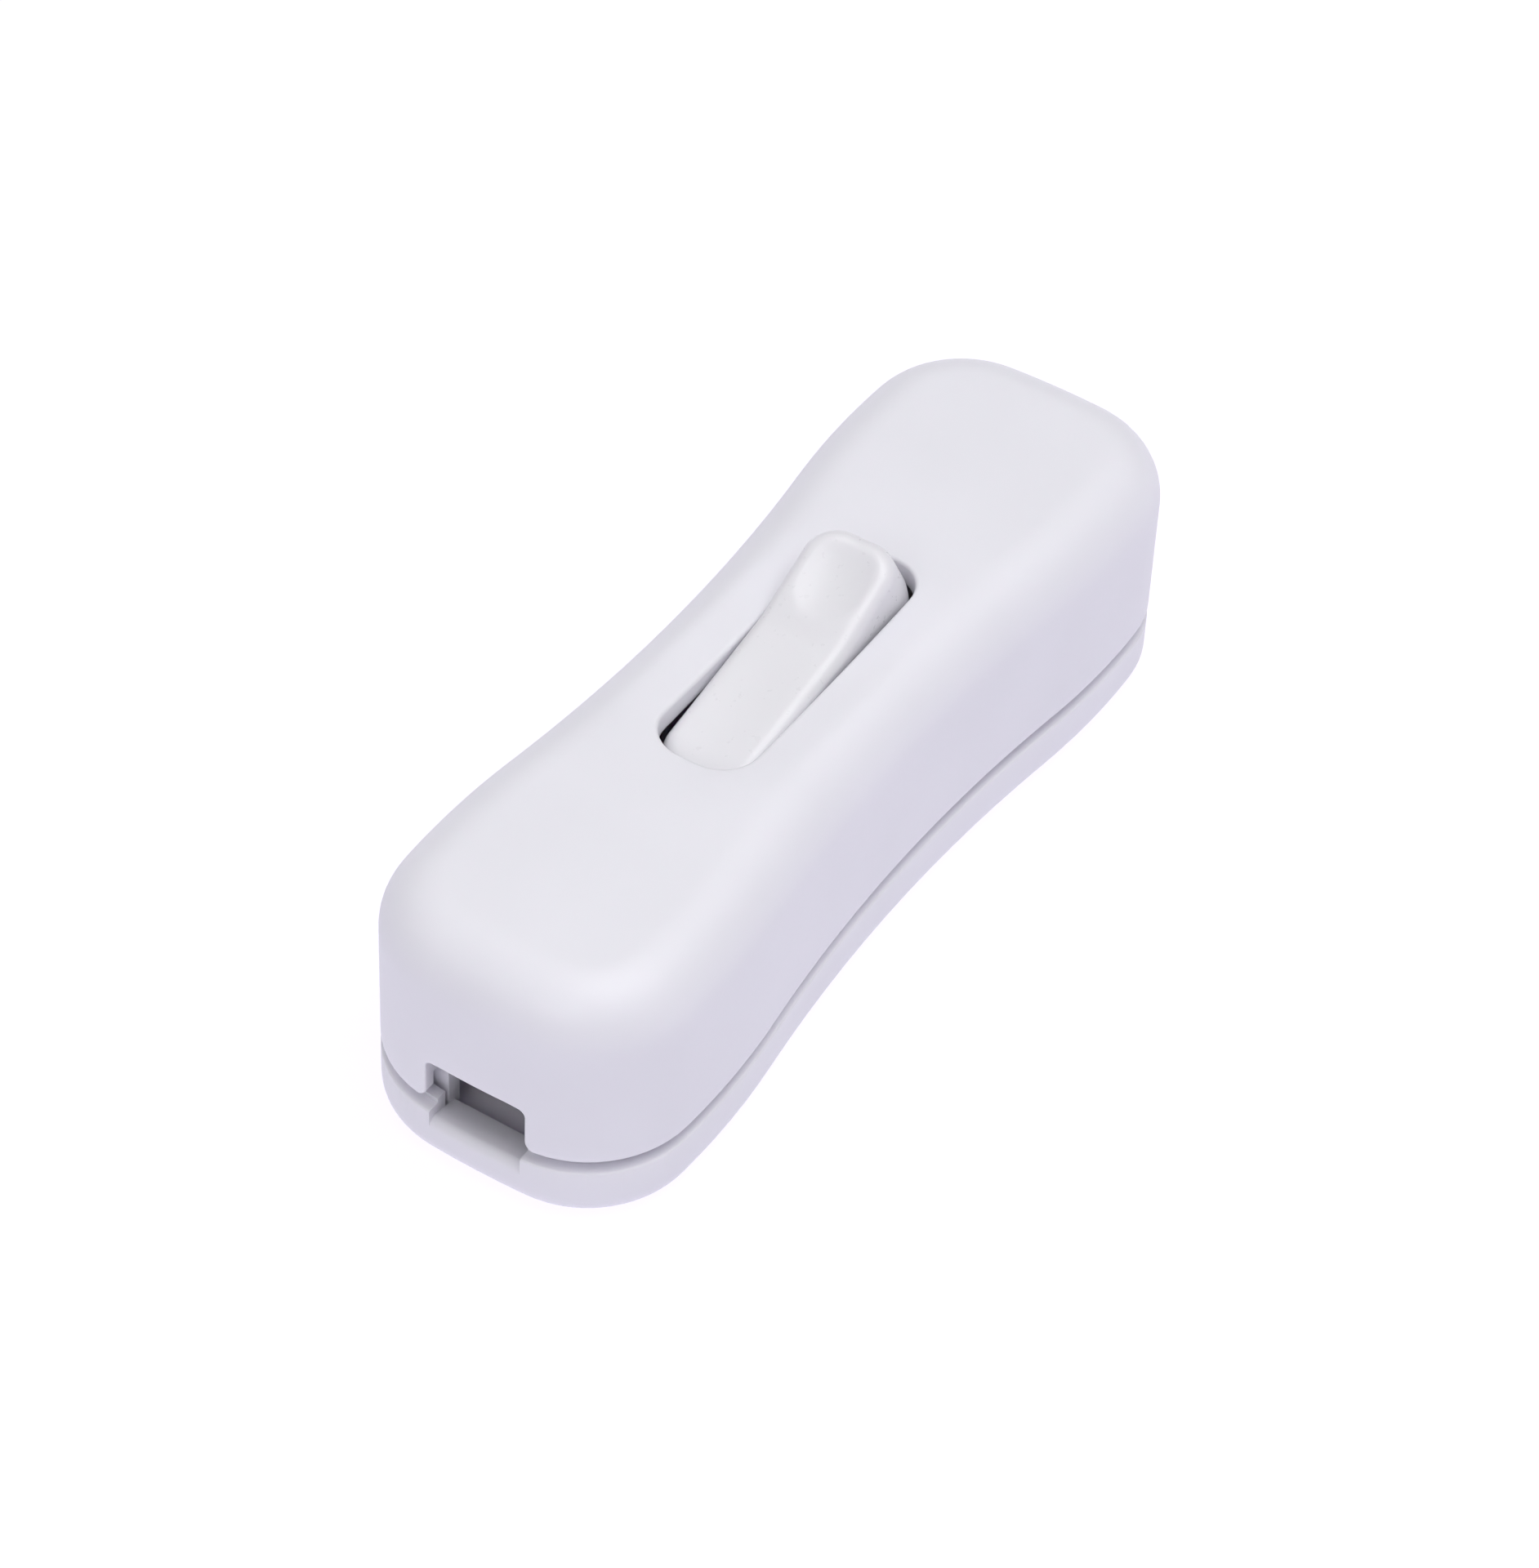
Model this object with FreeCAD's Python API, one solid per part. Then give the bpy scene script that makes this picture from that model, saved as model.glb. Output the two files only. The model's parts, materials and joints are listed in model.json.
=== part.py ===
"""Inline cord switch: a small waisted housing with a rocker, clipped into the run of a lamp cord.

All sizes are millimetres. The body lies along X, the bottom face is at Z = 0 and the origin is
in the middle of that face. Minus X is the near end, whose half of the rocker is pressed down.
"""
import FreeCAD
import Part
import math
import os

# Plan of the housing, one quarter of it, mirrored about X and Y
body_length = 60.0          # over the two end faces
body_width = 19.0           # over the two bulges
waist_pinch = 1.35          # how far each side is drawn in at the middle
bulge_inset = 9.2           # widest place, from the end
bulge_radius = 48.4
end_radius = 55.0           # the end faces are slightly bowed
corner_radius = 6.7

# Height of the housing and the joint between its halves
body_height = 16.2
seam_z = 4.05               # top of the base wall
reveal = 0.6                # open groove under the cover, seen as a dark line
wall = 1.5
floor = 1.6
ceiling = 1.5
top_rounding = 3.6
bottom_rounding = 1.7
base_rim_rounding = 0.35    # outer edges beside the open groove
cover_rim_rounding = 0.15
lip_wall = 0.75             # cover wall beside the tongue of the base
lip_clearance = 0.1
tongue_height = 2.0

# Slot for the rocker and the shallow oval dish round it
slot_length = 20.0
slot_width = 6.0
dish_end_margin = 3.3
dish_side_margin = 3.1
dish_depth = 0.45
slot_corner = 2.3
slot_edge = 0.25

# Cord entries, one in each end
entry_width = 6.4           # in the cover
entry_top_z = 7.6
entry_edge = 0.45
sill_width = 5.9            # in the base, and between the cord guide ribs
sill_z = 3.07
sill_land = 0.7             # flat part of the sill, then it falls away
sill_depth = 2.4            # from the end face to the drop inside
sill_drop = 0.35
tongue_gap = 0.6            # the tongue stops this far outside the entry
guide_offset = 1.9          # cord guide ribs, behind the end face
guide_rib = 1.0

# Rocker, modelled level and then tilted about its trunnions
pivot_depth = 3.2           # below the top of the housing
rocker_tilt = 16.5          # half of the full swing
rocker_end_gap = 0.2
rocker_side_gap = 0.15
saddle_sink = 0.2           # middle of the rocker's top, below the top of the housing
rocker_rise = 1.2           # ends of the top above its middle
finger_length = 6.4         # oval finger dish in each half of the top
finger_width = 4.3
finger_depth = 0.36
finger_outset = 5.1         # middle of the dish, from the pivot
saddle_rounding = 5.0
rocker_corner = 2.1
rocker_edge = 0.45
rocker_skirt = 2.4          # below the pivot
rocker_wall = 0.8
rocker_roof = 1.1
trunnion_radius = 1.0
trunnion_clearance = 0.1
trunnion_length = 1.25
cheek_wall = 1.2            # bearing cheeks that hang under the cover
cheek_width = 5.0
cheek_drop = 1.7            # below the pivot
cheek_throat = 1.8

# Sprung plunger inside the rocker
barrel_radius = 2.0
barrel_reach = 4.0          # below the pivot
bore_radius = 1.3
bore_top = 1.3              # above the pivot
plunger_radius = 1.15
plunger_reach = 5.2         # pivot to tip, fully out
plunger_length = 2.6
plunger_stem_radius = 0.6
plunger_stem = 1.0
spring_radius = 0.92
spring_wire = 0.28
spring_turns = 5.5

# See-saw contact bridge under the plunger
bridge_tilt = 8.0
bridge_share = 0.158        # width, of the width of the housing
bridge_sheet = 0.5
bridge_valley = 13.3        # degrees, slope of the seat beside the fulcrum
bridge_crest_x = 2.3
bridge_knee_x = 4.3
bridge_knee_drop = 0.15
bridge_end_x = 7.0
bridge_bend = 0.5
plunger_gap = 0.08          # tip to bridge with both level
tip_x = 5.8
tip_radius = 1.05
moving_tip_height = 0.6
fixed_tip_height = 0.5
contact_gap = 0.05
fulcrum_gap = 0.03

# Terminals
terminal_gap = 0.6          # slot end to the near face of each tunnel terminal
terminal_length = 4.6
terminal_share = 0.221      # width of each tunnel terminal, of the width of the housing
terminal_height = 4.9
terminal_edge = 0.3
wire_bore = 1.2
wire_bore_z = 2.0           # above the floor
tongue_sheet = 0.8
common_tongue_width = 1.4
load_tongue_width = 2.8
post_inset = 0.1            # inside the sides of the see-saw
through_gap = 0.3           # through terminal to the wall beside it
through_share = 0.147       # width of the block, of the width of the housing
through_length = 12.0
through_height = 4.0
through_bore_share = 0.32   # radius, of the width of the block
through_pitch = 7.6

# Ribs of the base round the contact works
cradle_gap = 0.2
cradle_wall = 0.8
cradle_length = 6.0
cradle_rise = 0.7           # above the fulcrum
stop_inner_gap = 0.25
stop_width = 0.7
stop_length = 1.6
pocket_gap = 0.1
pocket_wall = 0.8
pocket_height = 3.0

# Cord clamps, one at each end
clamp_boss_radius = 1.65
clamp_boss_z = 5.4
clamp_width = 3.6
clamp_side_gap = 1.4        # bar end to the wall at the bulge
clamp_screw_inset = 1.6     # screw to the end of the bar
clamp_height = 1.6
clamp_arch_radius = 3.4
clamp_arch = 0.8
clamp_tooth = 0.35
clamp_edge = 0.4

# Screws
clamp_head_radius = 1.55
clamp_head_height = 1.2
clamp_shank_radius = 0.9
clamp_screw_depth = 3.0
terminal_head_radius = 1.75
terminal_head_height = 1.3
terminal_shank_radius = 1.1
through_head_inset = 0.1    # screw head to the side of its block
through_head_height = 1.1
through_shank_share = 0.285 # radius, of the width of the block
slot_cut = 0.45             # driver slot in each head
screw_head_gap = 0.25       # head above the block, as sold, wire not yet held
thread_clearance = 0.05
case_screw_back = 2.4       # from the bar of the cord clamp
case_screw_side = 4.3       # from the side of the housing at the bulge
case_head_radius = 2.0
case_head_height = 1.1
case_head_sink = 0.25
case_shank_radius = 1.1
case_screw_length = 10.0
case_base_boss_radius = 2.15
case_base_boss_z = 4.4
case_cover_boss_radius = 2.0
case_boss_gap = 0.2
case_pilot_spare = 1.0

PAST = 1.0                  # how far cutting tools run past a face
X = FreeCAD.Vector(1, 0, 0)
Y = FreeCAD.Vector(0, 1, 0)
Z = FreeCAD.Vector(0, 0, 1)

# Sizes that follow from the ones above
half_length = body_length / 2
waist_width = body_width - 2 * waist_pinch
bulge_x = half_length - bulge_inset
cover_z = seam_z + reveal
ceiling_z = body_height - ceiling
tongue_z = seam_z + tongue_height
tongue_inset = lip_wall + lip_clearance
dish_length = slot_length + 2 * dish_end_margin
dish_width = slot_width + 2 * dish_side_margin
pivot_z = body_height - pivot_depth
saddle_z = body_height - saddle_sink
rocker_reach = slot_length / 2 - rocker_end_gap
rocker_width = slot_width - 2 * rocker_side_gap
rocker_skirt_z = pivot_z - rocker_skirt
bridge_width = bridge_share * body_width
post_width = bridge_width - 2 * post_inset
terminal_x = slot_length / 2 + terminal_gap + terminal_length / 2
terminal_width = terminal_share * body_width
through_width = through_share * body_width
through_y = -(waist_width / 2 - wall - through_gap - through_width / 2)
through_bore = through_bore_share * through_width
through_head_radius = through_width / 2 - through_head_inset
through_shank_radius = through_shank_share * through_width
guide_start = half_length - guide_offset - guide_rib
clamp_x = (terminal_x + terminal_length / 2 + guide_start) / 2
clamp_length = body_width - 2 * (wall + clamp_side_gap)
clamp_screw_y = clamp_length / 2 - clamp_screw_inset
case_screw_x = clamp_x - clamp_width / 2 - case_screw_back
case_screw_y = body_width / 2 - case_screw_side
pivot = FreeCAD.Vector(0, 0, pivot_z)
plunger_ball_z = pivot_z - (plunger_reach - plunger_radius)
bridge_top_z = plunger_ball_z - (plunger_radius + plunger_gap) / math.cos(math.radians(bridge_valley))
fulcrum_z = bridge_top_z - bridge_sheet
fulcrum = FreeCAD.Vector(0, 0, fulcrum_z)


def vec(x, y, z):
    """Short form of a vector."""
    return FreeCAD.Vector(x, y, z)


def block(x0, x1, y0, y1, z0, z1):
    """A box between two corners."""
    return Part.makeBox(x1 - x0, y1 - y0, z1 - z0, vec(x0, y0, z0))


def post(radius, z0, z1, x=0.0, y=0.0):
    """An upright cylinder."""
    return Part.makeCylinder(radius, z1 - z0, vec(x, y, z0))


def prism(points, half_width):
    """A polygon of X, Z points drawn out to both sides of the middle plane."""
    corners = [vec(x, -half_width, z) for x, z in points]
    return Part.Face(Part.makePolygon(corners + corners[:1])).extrude(Y * (2 * half_width))


def fused(first, *others):
    """One solid from several that touch or overlap."""
    return first.fuse(list(others)).removeSplitter()


def rounded(solid, radius, wanted):
    """Round the edges for which wanted(edge) is true."""
    return solid.makeFillet(radius, [edge for edge in solid.Edges if wanted(edge)])


def level_at(edge, z):
    """True for an edge that lies all in one level plane."""
    box = edge.BoundBox
    return abs(box.ZMin - z) < 1e-4 and abs(box.ZMax - z) < 1e-4


def upright(edge):
    """True for a straight edge along Z."""
    box = edge.BoundBox
    return box.XLength < 1e-4 and box.YLength < 1e-4 and box.ZLength > 1e-4


def turned(x, z, degrees, centre):
    """Where a point of the X, Z plane goes when it is turned about a Y axis through centre."""
    swing = math.radians(degrees)
    dx, dz = x - centre.x, z - centre.z
    return (centre.x + dx * math.cos(swing) + dz * math.sin(swing),
            centre.z - dx * math.sin(swing) + dz * math.cos(swing))


def circle_crossing(centre_a, radius_a, centre_b, radius_b):
    """The crossing of two circles that lies to the outer side, used for the corner arcs."""
    gap = centre_b - centre_a
    along = (radius_a ** 2 - radius_b ** 2 + gap.Length ** 2) / (2 * gap.Length)
    across = math.sqrt(radius_a ** 2 - along ** 2)
    unit = gap * (1 / gap.Length)
    return centre_a + unit * along + vec(unit.y, -unit.x, 0) * across


def plan_wire(inset, z):
    """The waisted outline, inset by a distance: end, corner, bulge and waist arcs in tangency."""
    bulge = vec(bulge_x, body_width / 2 - bulge_radius, 0)
    drop = waist_width / 2 - bulge.y
    waist_radius = (bulge_x ** 2 + drop ** 2 - bulge_radius ** 2) / (2 * (bulge_radius - drop))
    waist = vec(0, waist_width / 2 + waist_radius, 0)
    end = vec(half_length - end_radius, 0, 0)
    corner = circle_crossing(bulge, bulge_radius - corner_radius, end, end_radius - corner_radius)

    to_waist = (waist - bulge).normalize()
    to_side = (corner - bulge).normalize()
    to_end = (corner - end).normalize()
    bulge_start = bulge + to_waist * (bulge_radius - inset)
    bulge_middle = bulge + (to_waist + to_side).normalize() * (bulge_radius - inset)
    corner_start = corner + to_side * (corner_radius - inset)
    corner_middle = corner + (to_side + to_end).normalize() * (corner_radius - inset)
    corner_end = corner + to_end * (corner_radius - inset)
    waist_middle = vec(0, waist_width / 2 - inset, 0)
    end_middle = vec(half_length - inset, 0, 0)

    def placed(point, side_x, side_y):
        return vec(point.x * side_x, point.y * side_y, z)

    edges = []
    for side_x, side_y in ((1, 1), (-1, 1), (-1, -1), (1, -1)):
        for arc in ((bulge_start, bulge_middle, corner_start), (corner_start, corner_middle, corner_end)):
            edges.append(Part.Arc(*[placed(point, side_x, side_y) for point in arc]).toShape())
    for side in (1, -1):
        edges.append(Part.Arc(placed(bulge_start, 1, side), placed(waist_middle, 1, side),
                              placed(bulge_start, -1, side)).toShape())
        edges.append(Part.Arc(placed(corner_end, side, 1), placed(end_middle, side, 1),
                              placed(corner_end, side, -1)).toShape())
    return Part.Wire(Part.__sortEdges__(edges))


def plan_solid(inset, z0, z1):
    """The outline drawn up from one level to another."""
    return Part.Face(plan_wire(inset, z0)).extrude(Z * (z1 - z0))


def slot_solid(length, width, corner, z0, z1):
    """An upright rounded oblong in the middle of the housing."""
    solid = block(-length / 2, length / 2, -width / 2, width / 2, z0, z1)
    return rounded(solid, corner, upright)


def dish_tool(length, width, depth, foot, lean=0.0):
    """The tool for an oval dish: a large ring whose outer crown dips below its foot point."""
    long_radius = (length ** 2 / 4 + depth ** 2) / (2 * depth)
    short_radius = (width ** 2 / 4 + depth ** 2) / (2 * depth)
    centre = foot + Z * (long_radius - depth)
    ring = Part.makeTorus(long_radius - short_radius, short_radius, centre, Y)
    ring.rotate(foot, Y, lean)
    return ring


def entry_tool(width, z0, z1, edge):
    """Cuts both cord entries at once, with rounded upper corners."""
    reach = half_length + PAST
    tool = block(-reach, reach, -width / 2, width / 2, z0, z1)
    return rounded(tool, edge, lambda e: level_at(e, z1) and e.BoundBox.XLength > reach)


def end_span():
    """Two blocks that hold the end walls, so that an entry tool cuts nothing further in."""
    inner = half_length - wall - guide_offset
    reach = half_length + PAST
    high = body_height + PAST
    ends = [block(sign_start, sign_end, -body_width, body_width, -PAST, high)
            for sign_start, sign_end in ((-reach, -inner), (inner, reach))]
    return Part.makeCompound(ends)


def case_screw_places():
    """The two case screws stand on a diagonal."""
    return ((-case_screw_x, case_screw_y), (case_screw_x, -case_screw_y))


def cord_guides():
    """Ribs behind each end wall that steer the cord to its clamp."""
    inside = plan_solid(tongue_inset, floor, tongue_z)
    ribs = []
    for end in (-1, 1):
        for side in (-1, 1):
            xs = sorted((end * guide_start, end * (guide_start + guide_rib)))
            ys = sorted((side * sill_width / 2, side * body_width / 2))
            ribs.append(block(xs[0], xs[1], ys[0], ys[1], floor, tongue_z))
    return Part.makeCompound(ribs).common(inside)


def terminal_pockets():
    """Low ribs that hold the two tunnel terminals sideways."""
    ribs = []
    start = terminal_width / 2 + pocket_gap
    for end in (-1, 1):
        for side in (-1, 1):
            ys = sorted((side * start, side * (start + pocket_wall)))
            ribs.append(block(end * terminal_x - terminal_length / 2, end * terminal_x + terminal_length / 2,
                              ys[0], ys[1], floor, floor + pocket_height))
    return ribs


def bridge_cradle():
    """Two walls beside the see-saw and a pair of stops under its idle arm."""
    walls = []
    start = bridge_width / 2 + cradle_gap
    rest_z = turned(bridge_knee_x, fulcrum_z - bridge_knee_drop, bridge_tilt, fulcrum)[1]
    stop_middle = tip_x - contact_gap
    for side in (-1, 1):
        ys = sorted((side * start, side * (start + cradle_wall)))
        walls.append(block(-cradle_length / 2, cradle_length / 2, ys[0], ys[1],
                           floor, fulcrum_z + cradle_rise))
        inner = common_tongue_width / 2 + stop_inner_gap
        ys = sorted((side * inner, side * (inner + stop_width)))
        walls.append(block(-stop_middle - stop_length / 2, -stop_middle + stop_length / 2,
                           ys[0], ys[1], floor, rest_z - contact_gap))
    return walls


def fixed_tongue_z():
    """Top of the load tongue: below both contact tips when the see-saw is down."""
    rest_z = turned(bridge_knee_x, fulcrum_z - bridge_knee_drop, bridge_tilt, fulcrum)[1]
    return rest_z - moving_tip_height - contact_gap - fixed_tip_height


def load_pedestal():
    """Plastic block that backs the load tongue under the fixed contact."""
    x1 = terminal_x - terminal_length / 2 - pocket_gap
    return block(tip_x - tip_radius, x1, -load_tongue_width / 2, load_tongue_width / 2,
                 floor, fixed_tongue_z() - tongue_sheet)


def base_shell():
    """Lower half: floor, wall, tongue, cord sills, guides, bosses and contact cradle."""
    outer = plan_solid(0, 0, seam_z)
    outer = rounded(outer, bottom_rounding, lambda e: level_at(e, 0))
    outer = rounded(outer, base_rim_rounding, lambda e: level_at(e, seam_z))
    tongue = plan_solid(tongue_inset, floor, tongue_z)
    shell = outer.fuse(tongue).cut(plan_solid(wall, floor, tongue_z + PAST))

    inside = plan_solid(tongue_inset, floor, sill_z)
    sill_end = half_length - sill_depth
    for x0, x1 in ((-half_length, -sill_end), (sill_end, half_length)):
        shell = shell.fuse(block(x0, x1, -sill_width / 2, sill_width / 2, floor, sill_z).common(inside))
    sills = entry_tool(sill_width, sill_z, body_height, entry_edge).common(end_span())
    shell = shell.cut(sills)
    open_width = entry_width / 2 + tongue_gap
    gate = block(-half_length - PAST, half_length + PAST, -open_width, open_width,
                 seam_z, tongue_z + PAST).common(end_span())
    shell = shell.cut(gate)
    land_end = half_length - sill_land
    for end in (-1, 1):
        ramp = prism([(end * land_end, sill_z), (end * land_end, sill_z + PAST),
                      (end * sill_end, sill_z + PAST), (end * sill_end, sill_z - sill_drop)], sill_width / 2)
        shell = shell.cut(ramp)

    parts = [cord_guides()] + terminal_pockets() + bridge_cradle() + [load_pedestal()]
    for x in (-clamp_x, clamp_x):
        for y in (-clamp_screw_y, clamp_screw_y):
            parts.append(post(clamp_boss_radius, floor, clamp_boss_z, x, y))
    for x, y in case_screw_places():
        parts.append(post(case_base_boss_radius, floor, case_base_boss_z, x, y))
    shell = fused(shell, *parts)

    for x in (-clamp_x, clamp_x):
        for y in (-clamp_screw_y, clamp_screw_y):
            hole = clamp_shank_radius + thread_clearance
            shell = shell.cut(post(hole, clamp_boss_z - clamp_screw_depth, clamp_boss_z + PAST, x, y))
    for x, y in case_screw_places():
        shell = shell.cut(post(case_shank_radius + thread_clearance, -PAST, case_base_boss_z + PAST, x, y))
        shell = shell.cut(case_head_recess(x, y))
    return shell


def case_head_recess(x, y):
    """Countersink for a case screw, open at the bottom face."""
    wide = case_head_radius + thread_clearance
    narrow = case_shank_radius + thread_clearance
    cone = Part.makeCone(wide, narrow, case_head_height, vec(x, y, case_head_sink))
    return cone.fuse(post(wide, -PAST, case_head_sink, x, y))


def bearing_cheeks():
    """Two cheeks under the cover with open bores that the rocker's trunnions click into."""
    cheeks = []
    bore = trunnion_radius + trunnion_clearance
    low = pivot_z - cheek_drop
    for side in (-1, 1):
        ys = sorted((side * slot_width / 2, side * (slot_width / 2 + cheek_wall)))
        cheek = block(-cheek_width / 2, cheek_width / 2, ys[0], ys[1], low, ceiling_z)
        tool = Part.makeCylinder(bore, 2 * body_width, vec(0, -body_width, pivot_z), Y)
        throat = block(-cheek_throat / 2, cheek_throat / 2, -body_width, body_width, low - PAST, pivot_z)
        lead = prism([(-cheek_throat, low - PAST), (cheek_throat, low - PAST),
                      (0, low + cheek_throat / 2)], body_width)
        cheeks.append(cheek.cut(tool).cut(throat).cut(lead))
    return cheeks


def top_cover():
    """Upper half: rounded shell with dish, rocker slot, lip, cheeks and screw bosses."""
    outer = plan_solid(0, cover_z, body_height)
    outer = rounded(outer, top_rounding, lambda e: level_at(e, body_height))
    outer = outer.cut(dish_tool(dish_length, dish_width, dish_depth, vec(0, 0, body_height)))
    slot = slot_solid(slot_length, slot_width, slot_corner, cover_z, body_height + PAST)
    outer = outer.cut(slot)
    outer = rounded(outer, slot_edge, is_slot_rim)

    room = plan_solid(wall, cover_z - PAST, ceiling_z)
    room = rounded(room, top_rounding - wall, lambda e: level_at(e, ceiling_z))
    shell = outer.cut(room)
    shell = shell.cut(plan_solid(lip_wall, cover_z - PAST, tongue_z + lip_clearance))
    entries = entry_tool(entry_width, cover_z - PAST, entry_top_z, entry_edge).common(end_span())
    shell = shell.cut(entries)
    shell = rounded(shell, entry_edge, is_entry_foot)
    shell = rounded(shell, cover_rim_rounding, is_cover_rim)

    bosses = []
    for x, y in case_screw_places():
        bosses.append(post(case_cover_boss_radius, case_base_boss_z + case_boss_gap, ceiling_z, x, y))
    shell = fused(shell, *(bearing_cheeks() + bosses))
    for x, y in case_screw_places():
        top = case_head_sink + case_screw_length + case_pilot_spare
        shell = shell.cut(post(case_shank_radius + thread_clearance, cover_z - PAST, top, x, y))
    return shell


def is_slot_rim(edge):
    """True for the upper rim of the rocker slot, which lies on the dish."""
    box = edge.BoundBox
    inside_x = max(abs(box.XMin), abs(box.XMax)) < slot_length / 2 + 1e-3
    inside_y = max(abs(box.YMin), abs(box.YMax)) < slot_width / 2 + 1e-3
    high = box.ZMin > body_height - 2 * dish_depth
    return inside_x and inside_y and high and max(box.XLength, box.YLength) > 1e-3


def is_entry_foot(edge):
    """True for the corner where the jamb of an entry meets the lower edge of the cover."""
    box = edge.BoundBox
    beside = abs(max(abs(box.YMin), abs(box.YMax)) - entry_width / 2) < 1e-3 and box.YLength < 1e-3
    return beside and level_at(edge, cover_z) and box.XLength > 1e-3


def is_cover_rim(edge):
    """True for the outer lower edges of the cover, which run on round the mouth of each entry."""
    middle = edge.valueAt((edge.FirstParameter + edge.LastParameter) / 2)
    inner_half = Part.Face(plan_wire(lip_wall / 2, cover_z))
    return level_at(edge, cover_z) and not inner_half.isInside(middle, 1e-3, True)


def rocker_profile(reach, skirt_z, lower):
    """Side view of the level rocker: shallow vee top, and flat ends with corners on the swing circle."""
    rise = saddle_z + rocker_rise - pivot_z
    corner_x = math.sqrt(reach ** 2 - rise ** 2)
    skirt_x = math.sqrt(reach ** 2 - (skirt_z - pivot_z) ** 2)
    edges = []
    for side in (1, -1):
        top = vec(side * corner_x, lower, pivot_z + rise)
        middle = vec(side * reach, lower, pivot_z)
        edges.append(Part.LineSegment(vec(0, lower, saddle_z), top).toShape())
        edges.append(Part.LineSegment(top, middle).toShape())
        edges.append(Part.LineSegment(middle, vec(side * skirt_x, lower, skirt_z)).toShape())
    edges.append(Part.LineSegment(vec(-skirt_x, lower, skirt_z), vec(skirt_x, lower, skirt_z)).toShape())
    return Part.Face(Part.Wire(Part.__sortEdges__(edges)))


def level_rocker():
    """The rocker before it is tilted."""
    half_width = rocker_width / 2
    body = rocker_profile(rocker_reach, rocker_skirt_z, -half_width).extrude(Y * rocker_width)
    body = rounded(body, saddle_rounding, is_saddle)
    body = rounded(body, rocker_corner, is_rocker_corner)
    body = rounded(body, rocker_edge, is_rocker_rim)
    top_x = math.sqrt(rocker_reach ** 2 - (saddle_z + rocker_rise - pivot_z) ** 2)
    lean = math.degrees(math.atan2(rocker_rise, top_x))
    for side in (-1, 1):
        foot = vec(side * finger_outset, 0, saddle_z + rocker_rise * finger_outset / top_x)
        body = body.cut(dish_tool(finger_length, finger_width, finger_depth, foot, -side * lean))

    inner_end = math.sqrt(rocker_reach ** 2 - (rocker_skirt_z - pivot_z) ** 2) - rocker_wall
    roof_in = saddle_z - rocker_roof
    for side in (-1, 1):
        pocket = prism([(0, rocker_skirt_z - PAST), (side * inner_end, rocker_skirt_z - PAST),
                        (side * inner_end, pivot_z), (side * (inner_end - rocker_wall), roof_in + rocker_rise - finger_depth),
                        (0, roof_in)], half_width - rocker_wall)
        body = body.cut(pocket)
    barrel = post(barrel_radius, pivot_z - barrel_reach, roof_in + PAST / 2)
    pins = Part.makeCylinder(trunnion_radius, rocker_width + 2 * trunnion_length,
                             vec(0, -half_width - trunnion_length, pivot_z), Y)
    bore = post(bore_radius, pivot_z - barrel_reach - PAST, pivot_z + bore_top)
    return fused(body, barrel, pins).cut(bore)


def is_saddle(edge):
    """True for the line across the middle of the rocker's top."""
    box = edge.BoundBox
    return level_at(edge, saddle_z) and box.XLength < 1e-4 and abs(box.XMin) < 1e-4


def is_rocker_corner(edge):
    """True for the turned edges at the four corners of the rocker."""
    box = edge.BoundBox
    beside = box.YLength < 1e-4 and box.ZMin > rocker_skirt_z - 1e-3
    return beside and min(abs(box.XMin), abs(box.XMax)) > rocker_reach / 2 and box.ZLength > rocker_edge


def is_rocker_rim(edge):
    """True for the whole rim of the rocker's top."""
    box = edge.BoundBox
    high = box.ZMin > saddle_z - 1e-3
    across_saddle = box.XLength < 1e-3 and max(abs(box.XMin), abs(box.XMax)) < rocker_reach / 2
    on_side = abs(max(abs(box.YMin), abs(box.YMax)) - rocker_width / 2) < 1e-3
    at_end = min(abs(box.XMin), abs(box.XMax)) > rocker_reach / 2
    return high and not across_saddle and (on_side or at_end)


def tilted(solid):
    """Turn a level rocker piece to its place at rest, near end down."""
    solid = solid.copy()
    solid.rotate(pivot, Y, -rocker_tilt)
    return solid


def contact_plunger():
    """Round-nosed pin with a stem that the spring sits on, tip down."""
    tip_z = pivot_z - plunger_reach
    top_z = tip_z + plunger_length
    nose = Part.makeSphere(plunger_radius, vec(0, 0, plunger_ball_z))
    shank = post(plunger_radius, plunger_ball_z, top_z)
    stem = post(plunger_stem_radius, top_z, top_z + plunger_stem)
    return tilted(fused(nose, shank, stem))


def plunger_spring():
    """Coil between the plunger's shoulder and the end of its bore."""
    low = pivot_z - plunger_reach + plunger_length + spring_wire / 2
    high = pivot_z + bore_top - spring_wire / 2
    height = high - low
    helix = Part.makeHelix(height / spring_turns, height, spring_radius)
    start = vec(spring_radius, 0, 0)
    ring = Part.Wire(Part.makeCircle(spring_wire / 2, start, Y))
    coil = Part.Wire(helix.Edges).makePipeShell([ring], True, True)
    coil.translate(vec(0, 0, low))
    return tilted(coil)


def bridge_line():
    """Underside of the level see-saw from the middle to one end, as X, Z steps from the fulcrum."""
    crest_z = bridge_crest_x * math.tan(math.radians(bridge_valley))
    end_z = (bridge_end_x - bridge_knee_x) * math.tan(math.radians(bridge_tilt)) - bridge_knee_drop
    return ((bridge_crest_x, crest_z), (bridge_knee_x, -bridge_knee_drop), (bridge_end_x, end_z))


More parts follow.
